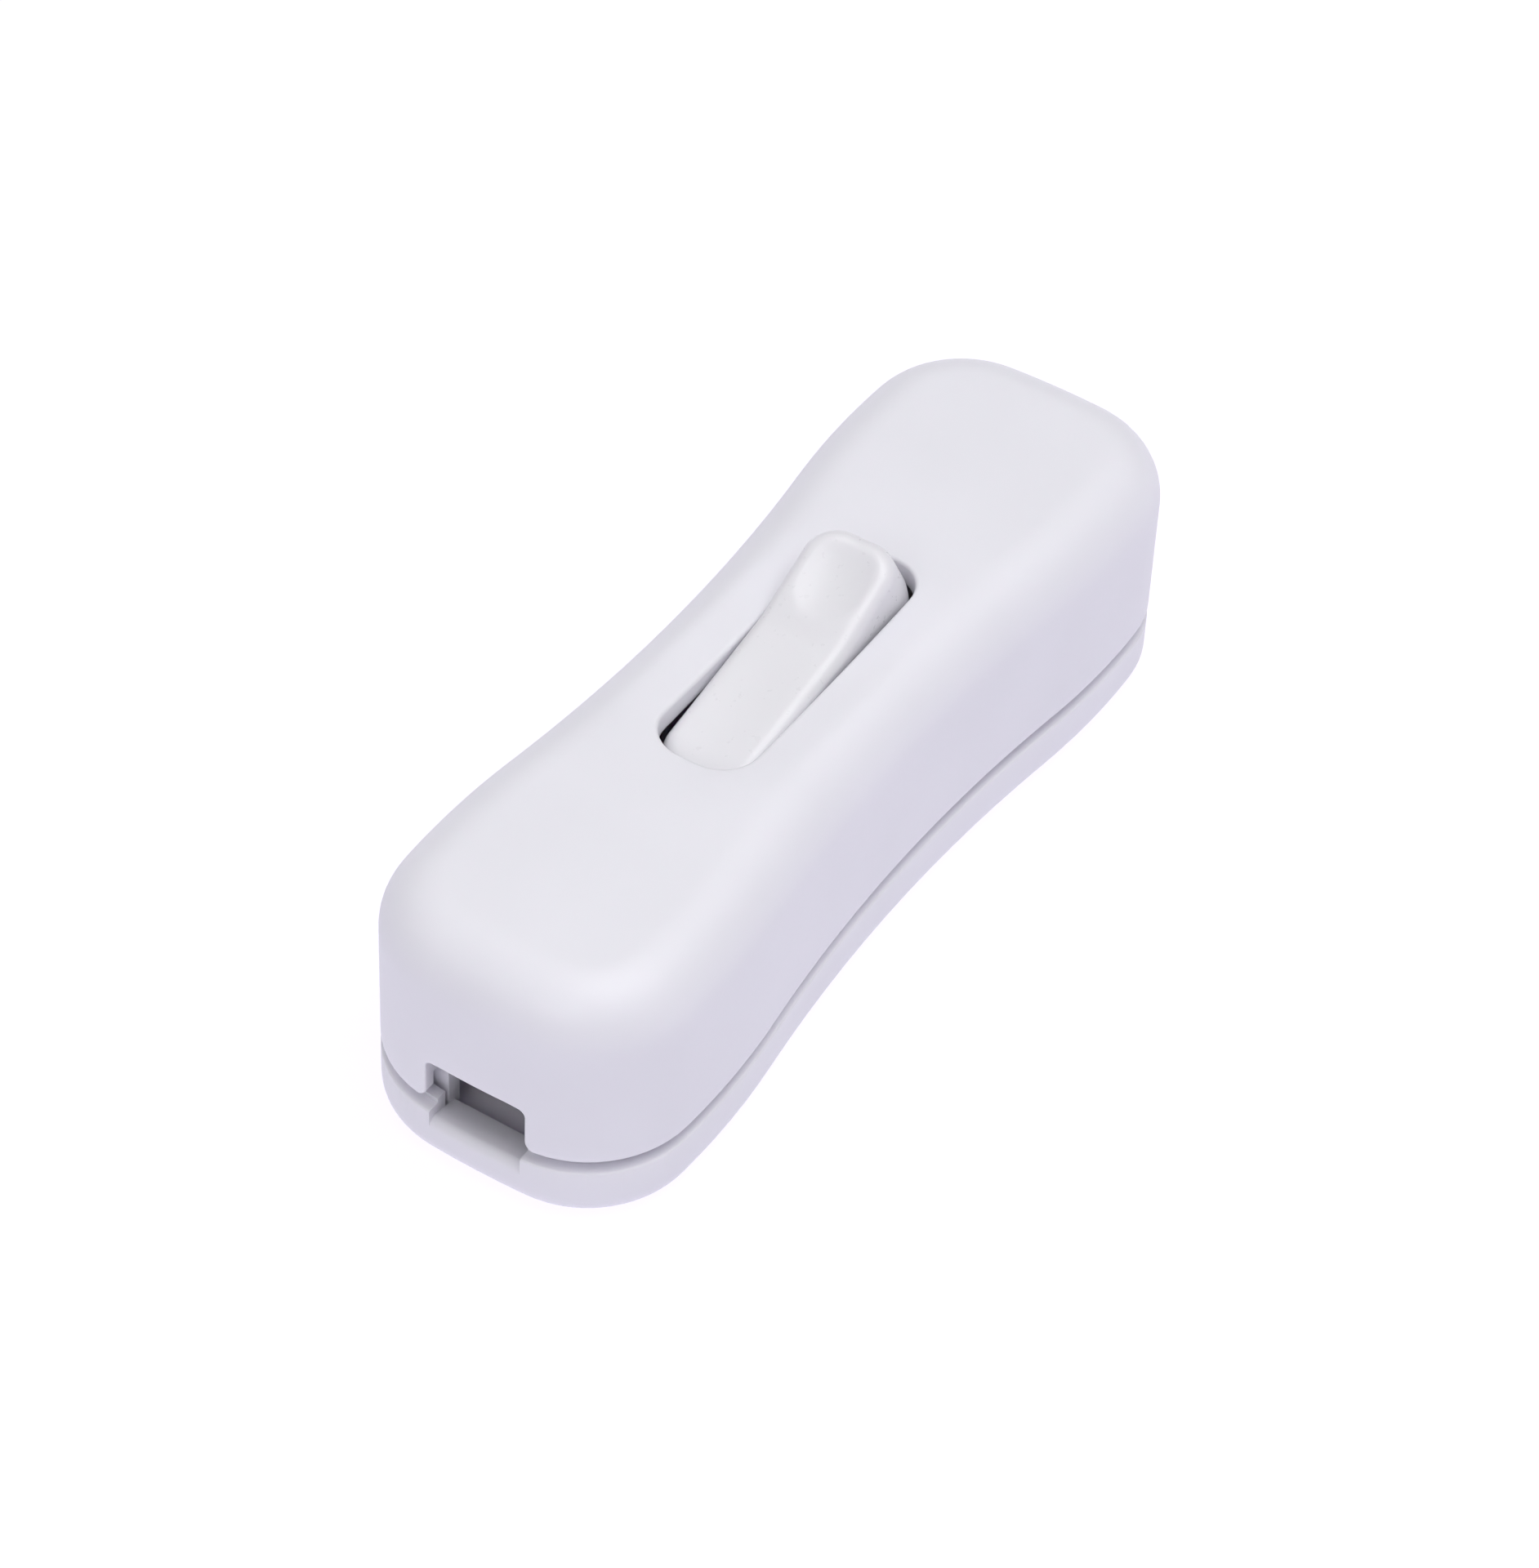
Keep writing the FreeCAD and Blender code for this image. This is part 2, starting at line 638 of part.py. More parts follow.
def contact_bridge():
    """Gull-shaped strip: its valley rocks on the fulcrum and cradles the plunger."""
    right = [(x, fulcrum_z + z) for x, z in bridge_line()]
    left = [(-x, z) for x, z in reversed(right)]
    under = left + [(0, fulcrum_z)] + right
    over = [(x, z + bridge_sheet) for x, z in reversed(under)]
    strip = prism(under + over, bridge_width / 2)
    strip = rounded(strip, bridge_bend, is_bend)
    strip.rotate(fulcrum, Y, bridge_tilt)
    return strip


def is_bend(edge):
    """True for a bend line of the strip, crest or knee."""
    box = edge.BoundBox
    across = box.XLength < 1e-4 and box.ZLength < 1e-4
    return across and bridge_crest_x - 1e-3 < abs(box.XMin) < bridge_knee_x + 1e-3


def domed_tip(x, seat_z, height, direction):
    """A contact rivet head standing off its seat, with a rounded rim."""
    z0, z1 = sorted((seat_z, seat_z + direction * height))
    tip = post(tip_radius, z0, z1, x, 0)
    return rounded(tip, height / 2, lambda e: level_at(e, seat_z + direction * height))


def moving_contact_tip():
    """Tip under the live arm of the see-saw, flat on the fixed tip at rest."""
    rest_z = turned(bridge_knee_x, fulcrum_z - bridge_knee_drop, bridge_tilt, fulcrum)[1]
    return domed_tip(tip_x, rest_z, moving_tip_height, -1)


def fixed_contact_tip():
    """Tip on the load tongue."""
    return domed_tip(tip_x, fixed_tongue_z(), fixed_tip_height, 1)


def tunnel_block(x, y, length, width, height, bore):
    """Brass block with a lengthwise wire bore."""
    solid = block(x - length / 2, x + length / 2, y - width / 2, y + width / 2, floor, floor + height)
    solid = rounded(solid, terminal_edge, upright)
    return solid.cut(Part.makeCylinder(bore, length + 2 * PAST, vec(x - length / 2 - PAST, y, floor + wire_bore_z), X))


def common_terminal():
    """Near tunnel terminal with a tongue to the post that carries the see-saw."""
    body = tunnel_block(-terminal_x, 0, terminal_length, terminal_width, terminal_height, wire_bore)
    body = body.cut(screw_hole(-terminal_x, 0, terminal_shank_radius, terminal_height))
    tongue = block(-terminal_x + terminal_length / 2 - terminal_edge, tongue_sheet / 2,
                   -common_tongue_width / 2, common_tongue_width / 2, floor, floor + tongue_sheet)
    pillar = block(-tongue_sheet / 2, tongue_sheet / 2, -post_width / 2, post_width / 2,
                   floor, fulcrum_z - fulcrum_gap)
    return fused(body, tongue, pillar)


def load_terminal():
    """Far tunnel terminal with a raised tongue under the fixed contact tip."""
    top = fixed_tongue_z()
    body = tunnel_block(terminal_x, 0, terminal_length, terminal_width, terminal_height, wire_bore)
    body = body.cut(screw_hole(terminal_x, 0, terminal_shank_radius, terminal_height))
    tongue = block(tip_x - tip_radius, terminal_x - terminal_length / 2 + terminal_edge,
                   -load_tongue_width / 2, load_tongue_width / 2, top - tongue_sheet, top)
    return fused(body, tongue)


def through_terminal():
    """Long block that joins the conductor that the switch does not break."""
    body = tunnel_block(0, through_y, through_length, through_width, through_height, through_bore)
    for x in (-through_pitch / 2, through_pitch / 2):
        body = body.cut(screw_hole(x, through_y, through_shank_radius, through_height))
    return body


def screw_hole(x, y, shank, height):
    """Tapped hole from the top of a block to its wire bore."""
    return post(shank + thread_clearance, floor + wire_bore_z, floor + height + PAST, x, y)


def slotted_screw(x, y, seat_z, tip_z, head_radius, head_height, shank_radius):
    """Cheese-head screw with a driver slot."""
    head_z = seat_z + head_height
    head = rounded(post(head_radius, seat_z, head_z, x, y), slot_cut / 2, lambda e: level_at(e, head_z))
    slot = block(x - head_radius, x + head_radius, y - slot_cut / 2, y + slot_cut / 2,
                 head_z - slot_cut, head_z + PAST)
    return fused(head, post(shank_radius, tip_z, seat_z, x, y)).cut(slot)


def terminal_screw(x, y, height, bore, head_radius, head_height, shank_radius):
    """Clamping screw of a tunnel terminal, its tip just in the wire bore."""
    seat_z = floor + height + screw_head_gap
    return slotted_screw(x, y, seat_z, floor + wire_bore_z + bore / 2, head_radius, head_height, shank_radius)


def cord_clamp(x):
    """Bar with an arched, toothed underside, screwed down over the cord."""
    z0 = clamp_boss_z
    z1 = z0 + clamp_height
    bar = block(x - clamp_width / 2, x + clamp_width / 2, -clamp_length / 2, clamp_length / 2, z0, z1)
    bar = rounded(bar, clamp_width / 3, upright)
    bar = rounded(bar, clamp_edge, lambda e: level_at(e, z1))
    axis_z = z0 + clamp_arch - clamp_arch_radius
    arch = Part.makeCylinder(clamp_arch_radius, clamp_width + 2 * PAST, vec(x - clamp_width / 2 - PAST, 0, axis_z), X)
    tooth = Part.makeCylinder(clamp_arch_radius - clamp_tooth, clamp_width + 2 * PAST,
                              vec(x - clamp_width / 2 - PAST, 0, axis_z), X)
    band = block(x - clamp_tooth, x + clamp_tooth, -clamp_length, clamp_length, axis_z, z1)
    bar = bar.cut(arch.cut(band)).cut(tooth)
    for y in (-clamp_screw_y, clamp_screw_y):
        bar = bar.cut(post(clamp_shank_radius + thread_clearance, z0 - PAST, z1 + PAST, x, y))
    return bar


def clamp_screw(x, y):
    """Screw that draws a clamp bar down on its bosses."""
    seat_z = clamp_boss_z + clamp_height
    return slotted_screw(x, y, seat_z, clamp_boss_z - clamp_screw_depth + thread_clearance,
                         clamp_head_radius, clamp_head_height, clamp_shank_radius)


def case_screw(x, y):
    """Countersunk screw from the bottom face up into the cover's boss."""
    head = Part.makeCone(case_head_radius, case_shank_radius, case_head_height, vec(x, y, case_head_sink))
    shank = post(case_shank_radius, case_head_sink + case_head_height, case_head_sink + case_screw_length, x, y)
    slot = slot_cut / 2
    cross = [block(x - case_head_radius / 2, x + case_head_radius / 2, y - slot, y + slot, 0, 2 * case_head_sink + slot),
             block(x - slot, x + slot, y - case_head_radius / 2, y + case_head_radius / 2, 0, 2 * case_head_sink + slot)]
    return fused(head, shank).cut(cross)


def pieces():
    """Every piece of the switch, by name."""
    made = {
        "base_shell": base_shell(),
        "top_cover": top_cover(),
        "rocker": tilted(level_rocker()),
        "contact_plunger": contact_plunger(),
        "plunger_spring": plunger_spring(),
        "contact_bridge": contact_bridge(),
        "moving_contact_tip": moving_contact_tip(),
        "fixed_contact_tip": fixed_contact_tip(),
        "common_terminal": common_terminal(),
        "load_terminal": load_terminal(),
        "through_terminal": through_terminal(),
        "common_terminal_screw": terminal_screw(-terminal_x, 0, terminal_height, wire_bore, terminal_head_radius,
                                                terminal_head_height, terminal_shank_radius),
        "load_terminal_screw": terminal_screw(terminal_x, 0, terminal_height, wire_bore, terminal_head_radius,
                                              terminal_head_height, terminal_shank_radius),
    }
    for end, side in (("near", -1), ("far", 1)):
        made["through_terminal_screw_" + end] = terminal_screw(
            side * through_pitch / 2, through_y, through_height, through_bore,
            through_head_radius, through_head_height, through_shank_radius)
        made[end + "_cord_clamp"] = cord_clamp(side * clamp_x)
        made[end + "_clamp_screw_left"] = clamp_screw(side * clamp_x, clamp_screw_y)
        made[end + "_clamp_screw_right"] = clamp_screw(side * clamp_x, -clamp_screw_y)
    for end, place in zip(("near", "far"), case_screw_places()):
        made["case_screw_" + end] = case_screw(*place)
    return made


def main():
    os.makedirs("parts", exist_ok=True)
    for name, shape in pieces().items():
        solid = shape.Solids[0] if len(shape.Solids) == 1 else shape
        print(name, "solids", len(shape.Solids), "valid", shape.isValid(), "mm3", round(shape.Volume, 2))
        solid.exportStep("parts/" + name + ".step")


main()
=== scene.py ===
"""Looks for a small white inline cord switch: housing, rocker, metal parts and a soft studio."""

import json
import math

import bmesh
import bpy
from mathutils import Matrix, Vector


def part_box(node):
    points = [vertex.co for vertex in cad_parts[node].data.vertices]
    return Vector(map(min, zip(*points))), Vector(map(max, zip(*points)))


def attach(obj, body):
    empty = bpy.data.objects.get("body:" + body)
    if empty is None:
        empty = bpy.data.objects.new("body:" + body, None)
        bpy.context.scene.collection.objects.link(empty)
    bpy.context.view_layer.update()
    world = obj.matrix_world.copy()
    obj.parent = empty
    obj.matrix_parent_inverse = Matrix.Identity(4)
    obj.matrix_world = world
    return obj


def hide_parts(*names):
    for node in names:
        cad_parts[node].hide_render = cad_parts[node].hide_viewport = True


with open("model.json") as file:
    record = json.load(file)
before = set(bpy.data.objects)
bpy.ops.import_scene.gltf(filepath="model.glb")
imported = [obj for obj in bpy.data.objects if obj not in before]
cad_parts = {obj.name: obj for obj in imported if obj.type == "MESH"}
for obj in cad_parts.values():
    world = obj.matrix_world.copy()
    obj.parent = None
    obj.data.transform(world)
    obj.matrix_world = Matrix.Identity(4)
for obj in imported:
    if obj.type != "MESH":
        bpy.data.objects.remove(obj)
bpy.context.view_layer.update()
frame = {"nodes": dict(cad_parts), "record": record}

bl_info = {
    "name": "Inline cord switch",
    "version": (1, 0, 0),
    "blender": (4, 5, 0),
    "location": "3D View > Sidebar > Switch",
    "description": "Models and finishes an inline cord switch around its packed solids",
    "category": "Object",
}

MM = 0.001
OVERLAP = 0.01 * MM
MERGE_DISTANCE = 0.0005 * MM
FINE_MERGE_DISTANCE = 0.0001 * MM
SMOOTH_ANGLE = math.radians(35)
QUARTER_TURN = math.pi / 2
SENSOR_HEIGHT = 36.0
CLIP_START = 10 * MM

# Steps along a quarter of each outline. The housing's and the slot's add up to the same number,
# so that a ring of one can run into a ring of the other.
HOUSING_STEPS = {"end": 5, "corner": 14, "bulge": 14, "waist": 15}
SLOT_STEPS = {"end": 3, "corner": 14, "side": 31}
ROCKER_STEPS = {"end": 3, "corner": 13, "side": 24}

# Steps from ring to ring along each part of a skin.
COVER_STEPS = {"slot edge": 4, "top": 24, "round edge": 16, "side": 5, "rim": 3, "inner corner": 6,
               "ceiling": 3}
BUTTON_STEPS = {"top": 14, "edge": 6, "side": 6, "roof": 3}

# Steps round the curves of tools and fittings.
MOUTH_STEPS = {"foot": 6, "corner": 5, "edge": 4}
RIM_STEPS = 4
SILL_STEPS = 8
BORE_STEPS = 24
ROUND_STEPS = 48
PIN_STEPS = 36


def srgb(red, green, blue):
    """A colour picked on screen, 0 to 255, as the linear values that shaders take."""
    def linear(value):
        share = value / 255
        return share / 12.92 if share <= 0.04045 else ((share + 0.055) / 1.055) ** 2.4
    return (linear(red), linear(green), linear(blue), 1.0)


def length(name, description, millimetres):
    """A length setting, given in millimetres and kept in metres."""
    return bpy.props.FloatProperty(name=name, description=description, unit="LENGTH", precision=5,
                                   min=0, default=millimetres * MM)


def point_setting(name, description, millimetres):
    """A point or three lengths, given in millimetres and kept in metres."""
    return bpy.props.FloatVectorProperty(name=name, description=description, subtype="XYZ", unit="LENGTH",
                                         precision=5, default=[part * MM for part in millimetres])


def angle_setting(name, description, degrees):
    """An angle setting, given in degrees and kept in radians."""
    return bpy.props.FloatProperty(name=name, description=description, unit="ROTATION",
                                   default=math.radians(degrees))


def colour_setting(name, description, default):
    """A colour setting."""
    return bpy.props.FloatVectorProperty(name=name, description=description, subtype="COLOR", size=4,
                                         min=0, max=1, default=default)


def share_setting(name, description, default):
    """A setting from 0 to 1."""
    return bpy.props.FloatProperty(name=name, description=description, subtype="FACTOR", min=0, max=1,
                                   default=default)


def strength_setting(name, description, default, unit="NONE"):
    """A strength or power setting, with no upper limit."""
    return bpy.props.FloatProperty(name=name, description=description, unit=unit, min=0, default=default)


# Settings

class HousingSettings(bpy.types.PropertyGroup):
    """Sizes of the two halves of the housing"""
    body_length: length("Body length", "Over the two end faces", 60)
    body_width: length("Body width", "Over the two bulges", 19)
    waist_pinch: length("Waist pinch", "How far each side is drawn in at the middle", 1.35)
    bulge_inset: length("Bulge inset", "Widest place, from the end", 9.2)
    bulge_radius: length("Bulge radius", "Radius of the sides at the bulges", 48.4)
    end_radius: length("End radius", "Radius of the slightly bowed end faces", 55)
    corner_radius: length("Corner radius", "Radius of the upright corners", 6.7)
    top_rounding: length("Top rounding", "Radius of the upper edge", 3.6)
    rim_rounding: length("Rim rounding", "Radius of the lower edge and of the entry mouths", 0.15)
    wall: length("Wall", "Thickness of the side wall", 1.5)
    ceiling: length("Ceiling", "Thickness of the top", 1.5)
    lip_wall: length("Lip wall", "Thickness of the wall beside the base's tongue", 0.75)
    lip_height: length("Lip height", "Height of that thin wall", 1.5)
    slot_length: length("Slot length", "Rocker slot, along the body", 20)
    slot_width: length("Slot width", "Rocker slot, across the body", 6)
    slot_corner: length("Slot corner", "Corner radius of the slot", 2.3)
    slot_edge: length("Slot edge", "Radius of the slot's upper edge", 0.25)
    dish_length: length("Dish length", "Oval dish round the slot, along the body", 26.6)
    dish_width: length("Dish width", "Oval dish round the slot, across the body", 12.2)
    dish_depth: length("Dish depth", "Depth of the oval dish in the middle", 0.45)
    dish_blend: length("Dish blend", "How softly the dish runs into the top", 0.16)
    entry_width: length("Entry width", "Cord entry, across the body", 6.4)
    entry_top: length("Entry top", "Top of the cord entry, above the floor", 7.6)
    entry_corner: length("Entry corner", "Upper corner radius of the cord entry", 0.45)
    entry_foot: length("Entry foot", "Radius where the cord entry runs out into the lower edge", 0.7)
    cover_rim: length("Cover rim", "Lower edge of the cover, above the groove", 4.65)
    base_rim: length("Base rim", "Top of the base's outer rim, under the groove", 3.75)
    groove_depth: length("Groove depth", "Groove beside the tongue, from the side", 0.8)
    sill_width: length("Sill width", "Cord sill in the base, across the body", 5.9)
    sill_height: length("Sill height", "Cord sill above the bottom", 3.07)
    sill_rounding: length("Sill rounding", "Radius of the sill's front edge", 0.65)
    cheek_width: length("Cheek width", "Bearing cheeks under the top, along the body", 5)
    cheek_wall: length("Cheek wall", "Thickness of each bearing cheek", 1.2)
    cheek_drop: length("Cheek drop", "Cheek below the middle of its bore", 1.7)
    cheek_bore: length("Cheek bore", "Radius of the bore for the trunnion", 1.1)
    cheek_throat: length("Cheek throat", "Width of the mouth of that bore", 1.8)
    boss_radius: length("Boss radius", "Screw bosses under the top", 2)
    boss_bore: length("Boss bore", "Radius of the hole in each boss", 1.15)
    boss_foot: length("Boss foot", "Lower end of each boss, above the bottom", 4.6)


class RockerSettings(bpy.types.PropertyGroup):
    """Sizes of the rocker, taken with its skirt level"""
    tilt: angle_setting("Tilt", "Rocker at rest, near end down", 16.5)
    half_length: length("Half length", "Pivot to the corner of each end", 9.8)
    width: length("Width", "Over the two sides", 5.7)
    saddle: length("Saddle", "Lowest place of the top, above the pivot", 3.1)
    saddle_offset: length("Saddle offset", "That place, towards the far end from the pivot", 2.2)
    rise: length("Rise", "Ends of the top above the saddle", 1.1)
    saddle_blend: length("Saddle blend", "How softly the two halves of the top meet", 0.34)
    corner: length("Corner", "Radius of the upright corners", 2.1)
    edge: length("Edge", "Radius of the upper edge", 0.75)
    skirt: length("Skirt", "Lower edge, below the pivot", 2.4)
    wall: length("Wall", "Thickness of the sides", 0.8)
    roof: length("Roof", "Thickness of the top", 1.1)
    far_dish_start: length("Far dish start", "Near edge of the far finger dish, from the pivot", 3.2)
    far_dish_end: length("Far dish end", "Far edge of the far finger dish, from the pivot", 8.6)
    near_dish_start: length("Near dish start", "Inner edge of the near finger dish, past the pivot", 1.9)
    near_dish_end: length("Near dish end", "Outer edge of the near finger dish, from the pivot", 8.9)
    dish_width: length("Dish width", "Finger dishes, across the body", 4.3)
    far_dish_depth: length("Far dish depth", "Depth of the far finger dish", 0.42)
    near_dish_depth: length("Near dish depth", "Depth of the near finger dish", 0.12)
    dish_blend: length("Dish blend", "How softly each dish runs out", 0.08)
    barrel_radius: length("Barrel radius", "Tube for the plunger", 2)
    barrel_reach: length("Barrel reach", "Tube below the pivot", 4)
    bore_radius: length("Bore radius", "Inside of that tube", 1.3)
    bore_top: length("Bore top", "End of the bore, above the pivot", 1.3)
    trunnion_radius: length("Trunnion radius", "The two pins that the rocker swings on", 1)
    trunnion_length: length("Trunnion length", "Each pin beyond the side", 1.25)


class PlasticSettings(bpy.types.PropertyGroup):
    """Looks of the moulded pieces"""
    housing_colour: colour_setting("Housing colour", "Cool white of both halves", srgb(225, 224, 231))
    rocker_colour: colour_setting("Rocker colour", "Slightly warmer white", srgb(222, 221, 226))
    clamp_colour: colour_setting("Clamp colour", "Natural nylon of the cord clamps", srgb(222, 218, 206))
    housing_roughness: share_setting("Housing roughness", "Satin finish of the housing", 0.42)
    rocker_roughness: share_setting("Rocker roughness", "Polished finish of the rocker", 0.3)
    clamp_roughness: share_setting("Clamp roughness", "Dull finish of the cord clamps", 0.5)
    translucency: share_setting("Translucency", "Share of the light that spreads inside the plastic", 0.3)
    light_spread: point_setting("Light spread", "Spread of red, green and blue light", (1.2, 1.0, 1.1))
    grain_size: bpy.props.FloatProperty(
        name="Grain size", description="Size of the fine moulded grain", unit="LENGTH",
        min=0.05 * MM, max=2 * MM, precision=5, default=0.22 * MM)


class MetalSettings(bpy.types.PropertyGroup):
    """Colours of the metal pieces"""
    brass_colour: colour_setting("Brass colour", "Terminals and plunger", srgb(214, 184, 118))
    copper_colour: colour_setting("Bridge colour", "Copper alloy of the bridge", srgb(206, 152, 112))
    steel_colour: colour_setting("Steel colour", "Zinc-plated screws and the spring", srgb(196, 198, 203))
    silver_colour: colour_setting("Contact colour", "Silver of the contact tips", srgb(232, 230, 224))


class StudioSettings(bpy.types.PropertyGroup):
    """Camera, floor, lights and room"""
    azimuth: angle_setting("Azimuth", "Camera turn about the upright axis", -58.83)
    elevation: angle_setting("Elevation", "Camera height above the floor, as an angle", 44.62)
    roll: angle_setting("Roll", "Camera turn about its own line of sight", 2.86)
    distance: length("Distance", "Camera to its aim point", 306.64)
    aim: point_setting("Aim", "Point that the camera looks at", (-1.26, 0.05, 6.93))
    lens: bpy.props.FloatProperty(
        name="Lens", description="Focal length in millimetres, for the sensor's height",
        unit="CAMERA", default=125.506)
    floor_size: length("Floor size", "Each side of the paper floor", 8000)
    floor_drop: length("Floor drop", "Floor below the flat bottom of the switch", 0.02)
    floor_colour: colour_setting("Floor colour", "Faintly cool white paper", (0.885, 0.86, 0.97, 1.0))
    floor_glow: strength_setting("Floor glow", "Light that comes through the paper from below", 0.98)
    floor_share: share_setting("Floor share", "Share of its colour that the paper gives back", 0.2)
    top_place: point_setting("Top place", "Middle of the large softbox overhead", (20, -100, 420))
    top_width: length("Top width", "Width of the large softbox", 450)
    top_depth: length("Top depth", "Depth of the large softbox", 360)
    top_light: strength_setting("Top light", "Power of the large softbox", 1.18, unit="POWER")
    fill_place: point_setting("Fill place", "Middle of the softbox beyond the near end", (-380, -20, 300))
    fill_width: length("Fill width", "Width of the softbox beyond the near end", 250)
    fill_depth: length("Fill depth", "Depth of the softbox beyond the near end", 200)
    fill_light: strength_setting("Fill light", "Power of the other softbox", 0.31, unit="POWER")
    room_light: strength_setting("Room light", "Brightness of the white room overhead", 0.7)
    room_horizon: share_setting("Room horizon", "Share of that brightness at the horizon", 0.1)
    room_edge: share_setting("Room edge", "Sine of the height below which the room is white", 0.006)
    room_colour: colour_setting("Room colour", "White of the room", (1.0, 1.0, 1.0, 1.0))


# Shader groups

def group_socket(group, name, direction, kind, default=None):
    """One named input or output of a shader group."""
    socket = group.interface.new_socket(name=name, in_out=direction, socket_type=kind)
    if default is not None:
        socket.default_value = default
    return socket


def noise(tree, vector, scale=1.0, detail=2.0):
    """A noise texture over a vector, as its node."""
    texture = tree.nodes.new("ShaderNodeTexNoise")
    texture.inputs["Scale"].default_value = scale
    texture.inputs["Detail"].default_value = detail
    tree.links.new(vector, texture.inputs["Vector"])
    return texture


def mould_grain_group():
    """Fine grain and slow waviness of moulded plastic: a height, a tone and a roughness mask."""
    group = bpy.data.node_groups.new("Mould grain", "ShaderNodeTree")
    group_socket(group, "Vector", "INPUT", "NodeSocketVector")
    group_socket(group, "Grain scale", "INPUT", "NodeSocketFloat", 4500.0)
    group_socket(group, "Wave scale", "INPUT", "NodeSocketFloat", 140.0)
    group_socket(group, "Grain share", "INPUT", "NodeSocketFloat", 0.35)
    group_socket(group, "Height", "OUTPUT", "NodeSocketFloat")
    group_socket(group, "Tone", "OUTPUT", "NodeSocketFloat")
    group_socket(group, "Mask", "OUTPUT", "NodeSocketFloat")
    nodes, links = group.nodes, group.links
    inside = nodes.new("NodeGroupInput")
    outside = nodes.new("NodeGroupOutput")

    grain = noise(group, inside.outputs["Vector"], detail=3.0)
    links.new(inside.outputs["Grain scale"], grain.inputs["Scale"])
    wave = noise(group, inside.outputs["Vector"], detail=1.0)
    links.new(inside.outputs["Wave scale"], wave.inputs["Scale"])

    sum_height = nodes.new("ShaderNodeMath")
    sum_height.operation = "MULTIPLY_ADD"
    links.new(grain.outputs["Fac"], sum_height.inputs[0])
    links.new(inside.outputs["Grain share"], sum_height.inputs[1])
    links.new(wave.outputs["Fac"], sum_height.inputs[2])

    links.new(sum_height.outputs["Value"], outside.inputs["Height"])
    links.new(wave.outputs["Fac"], outside.inputs["Tone"])
    links.new(grain.outputs["Fac"], outside.inputs["Mask"])
    return group


def brushed_group():
    """Fine drawn lines and blotches of bare metal: a height and a tone."""
    group = bpy.data.node_groups.new("Drawn metal", "ShaderNodeTree")
    group_socket(group, "Vector", "INPUT", "NodeSocketVector")
    group_socket(group, "Height", "OUTPUT", "NodeSocketFloat")
    group_socket(group, "Tone", "OUTPUT", "NodeSocketFloat")
    nodes, links = group.nodes, group.links
    inside = nodes.new("NodeGroupInput")
    outside = nodes.new("NodeGroupOutput")

    stretch = nodes.new("ShaderNodeMapping")
    stretch.inputs["Scale"].default_value = (400.0, 9000.0, 9000.0)
    links.new(inside.outputs["Vector"], stretch.inputs["Vector"])
    lines = noise(group, stretch.outputs["Vector"])
    blotch = noise(group, inside.outputs["Vector"], scale=700.0)

    links.new(lines.outputs["Fac"], outside.inputs["Height"])
    links.new(blotch.outputs["Fac"], outside.inputs["Tone"])
    return group


# Materials

# Most of a noise texture's values lie between these two.
NOISE_LOW, NOISE_HIGH = 0.3, 0.7


def new_material(name):
    """A node material with its shader and Object coordinates."""
    material = bpy.data.materials.new(name)
    material.use_nodes = True
    nodes = material.node_tree.nodes
    shader = nodes["Principled BSDF"]
    place = nodes.new("ShaderNodeTexCoord")
    return material, shader, place.outputs["Object"]


def toned(material, mask, colour, low, high):
    """The colour between a slightly darker and a slightly lighter one, by a noise mask."""
    nodes, links = material.node_tree.nodes, material.node_tree.links
    ramp = nodes.new("ShaderNodeValToRGB")
    for element, position, share in zip(ramp.color_ramp.elements, (NOISE_LOW, NOISE_HIGH), (low, high)):
        element.position = position
        element.color = [min(part * share, 1.0) for part in colour[:3]] + [1.0]
    links.new(mask, ramp.inputs["Fac"])
    return ramp.outputs["Color"]


def spread(material, mask, low, high):
    """A noise mask stretched to run from low to high."""
    nodes, links = material.node_tree.nodes, material.node_tree.links
    remap = nodes.new("ShaderNodeMapRange")
    remap.inputs["From Min"].default_value = NOISE_LOW
    remap.inputs["From Max"].default_value = NOISE_HIGH
    remap.inputs["To Min"].default_value = low
    remap.inputs["To Max"].default_value = high
    links.new(mask, remap.inputs["Value"])
    return remap.outputs["Result"]


def raised(material, shader, height, strength, depth):
    """Feed a height to the shader as a bump."""
    nodes, links = material.node_tree.nodes, material.node_tree.links
    bump = nodes.new("ShaderNodeBump")
    bump.inputs["Strength"].default_value = strength
    bump.inputs["Distance"].default_value = depth
    links.new(height, bump.inputs["Height"])
    links.new(bump.outputs["Normal"], shader.inputs["Normal"])


def plastic(looks, name, colour, roughness, grain_size, grain_depth, tone_span):
    """Moulded plastic with fine grain, a little waviness and uneven gloss."""
    material, shader, place = new_material(name)
    nodes, links = material.node_tree.nodes, material.node_tree.links
    grain = nodes.new("ShaderNodeGroup")
    grain.node_tree = bpy.data.node_groups["Mould grain"]
    grain.inputs["Grain scale"].default_value = 1 / grain_size
    links.new(place, grain.inputs["Vector"])
    tint = toned(material, grain.outputs["Tone"], colour, low=1 - tone_span, high=1 + tone_span)
    links.new(tint, shader.inputs["Base Color"])
    gloss = spread(material, grain.outputs["Mask"], low=roughness * 0.9, high=roughness * 1.1)
    links.new(gloss, shader.inputs["Roughness"])
    raised(material, shader, grain.outputs["Height"], strength=0.3, depth=grain_depth)
    shader.inputs["IOR"].default_value = 1.5
    shader.inputs["Subsurface Weight"].default_value = looks.translucency
    shader.inputs["Subsurface Radius"].default_value = looks.light_spread
    shader.inputs["Subsurface Scale"].default_value = 1.0


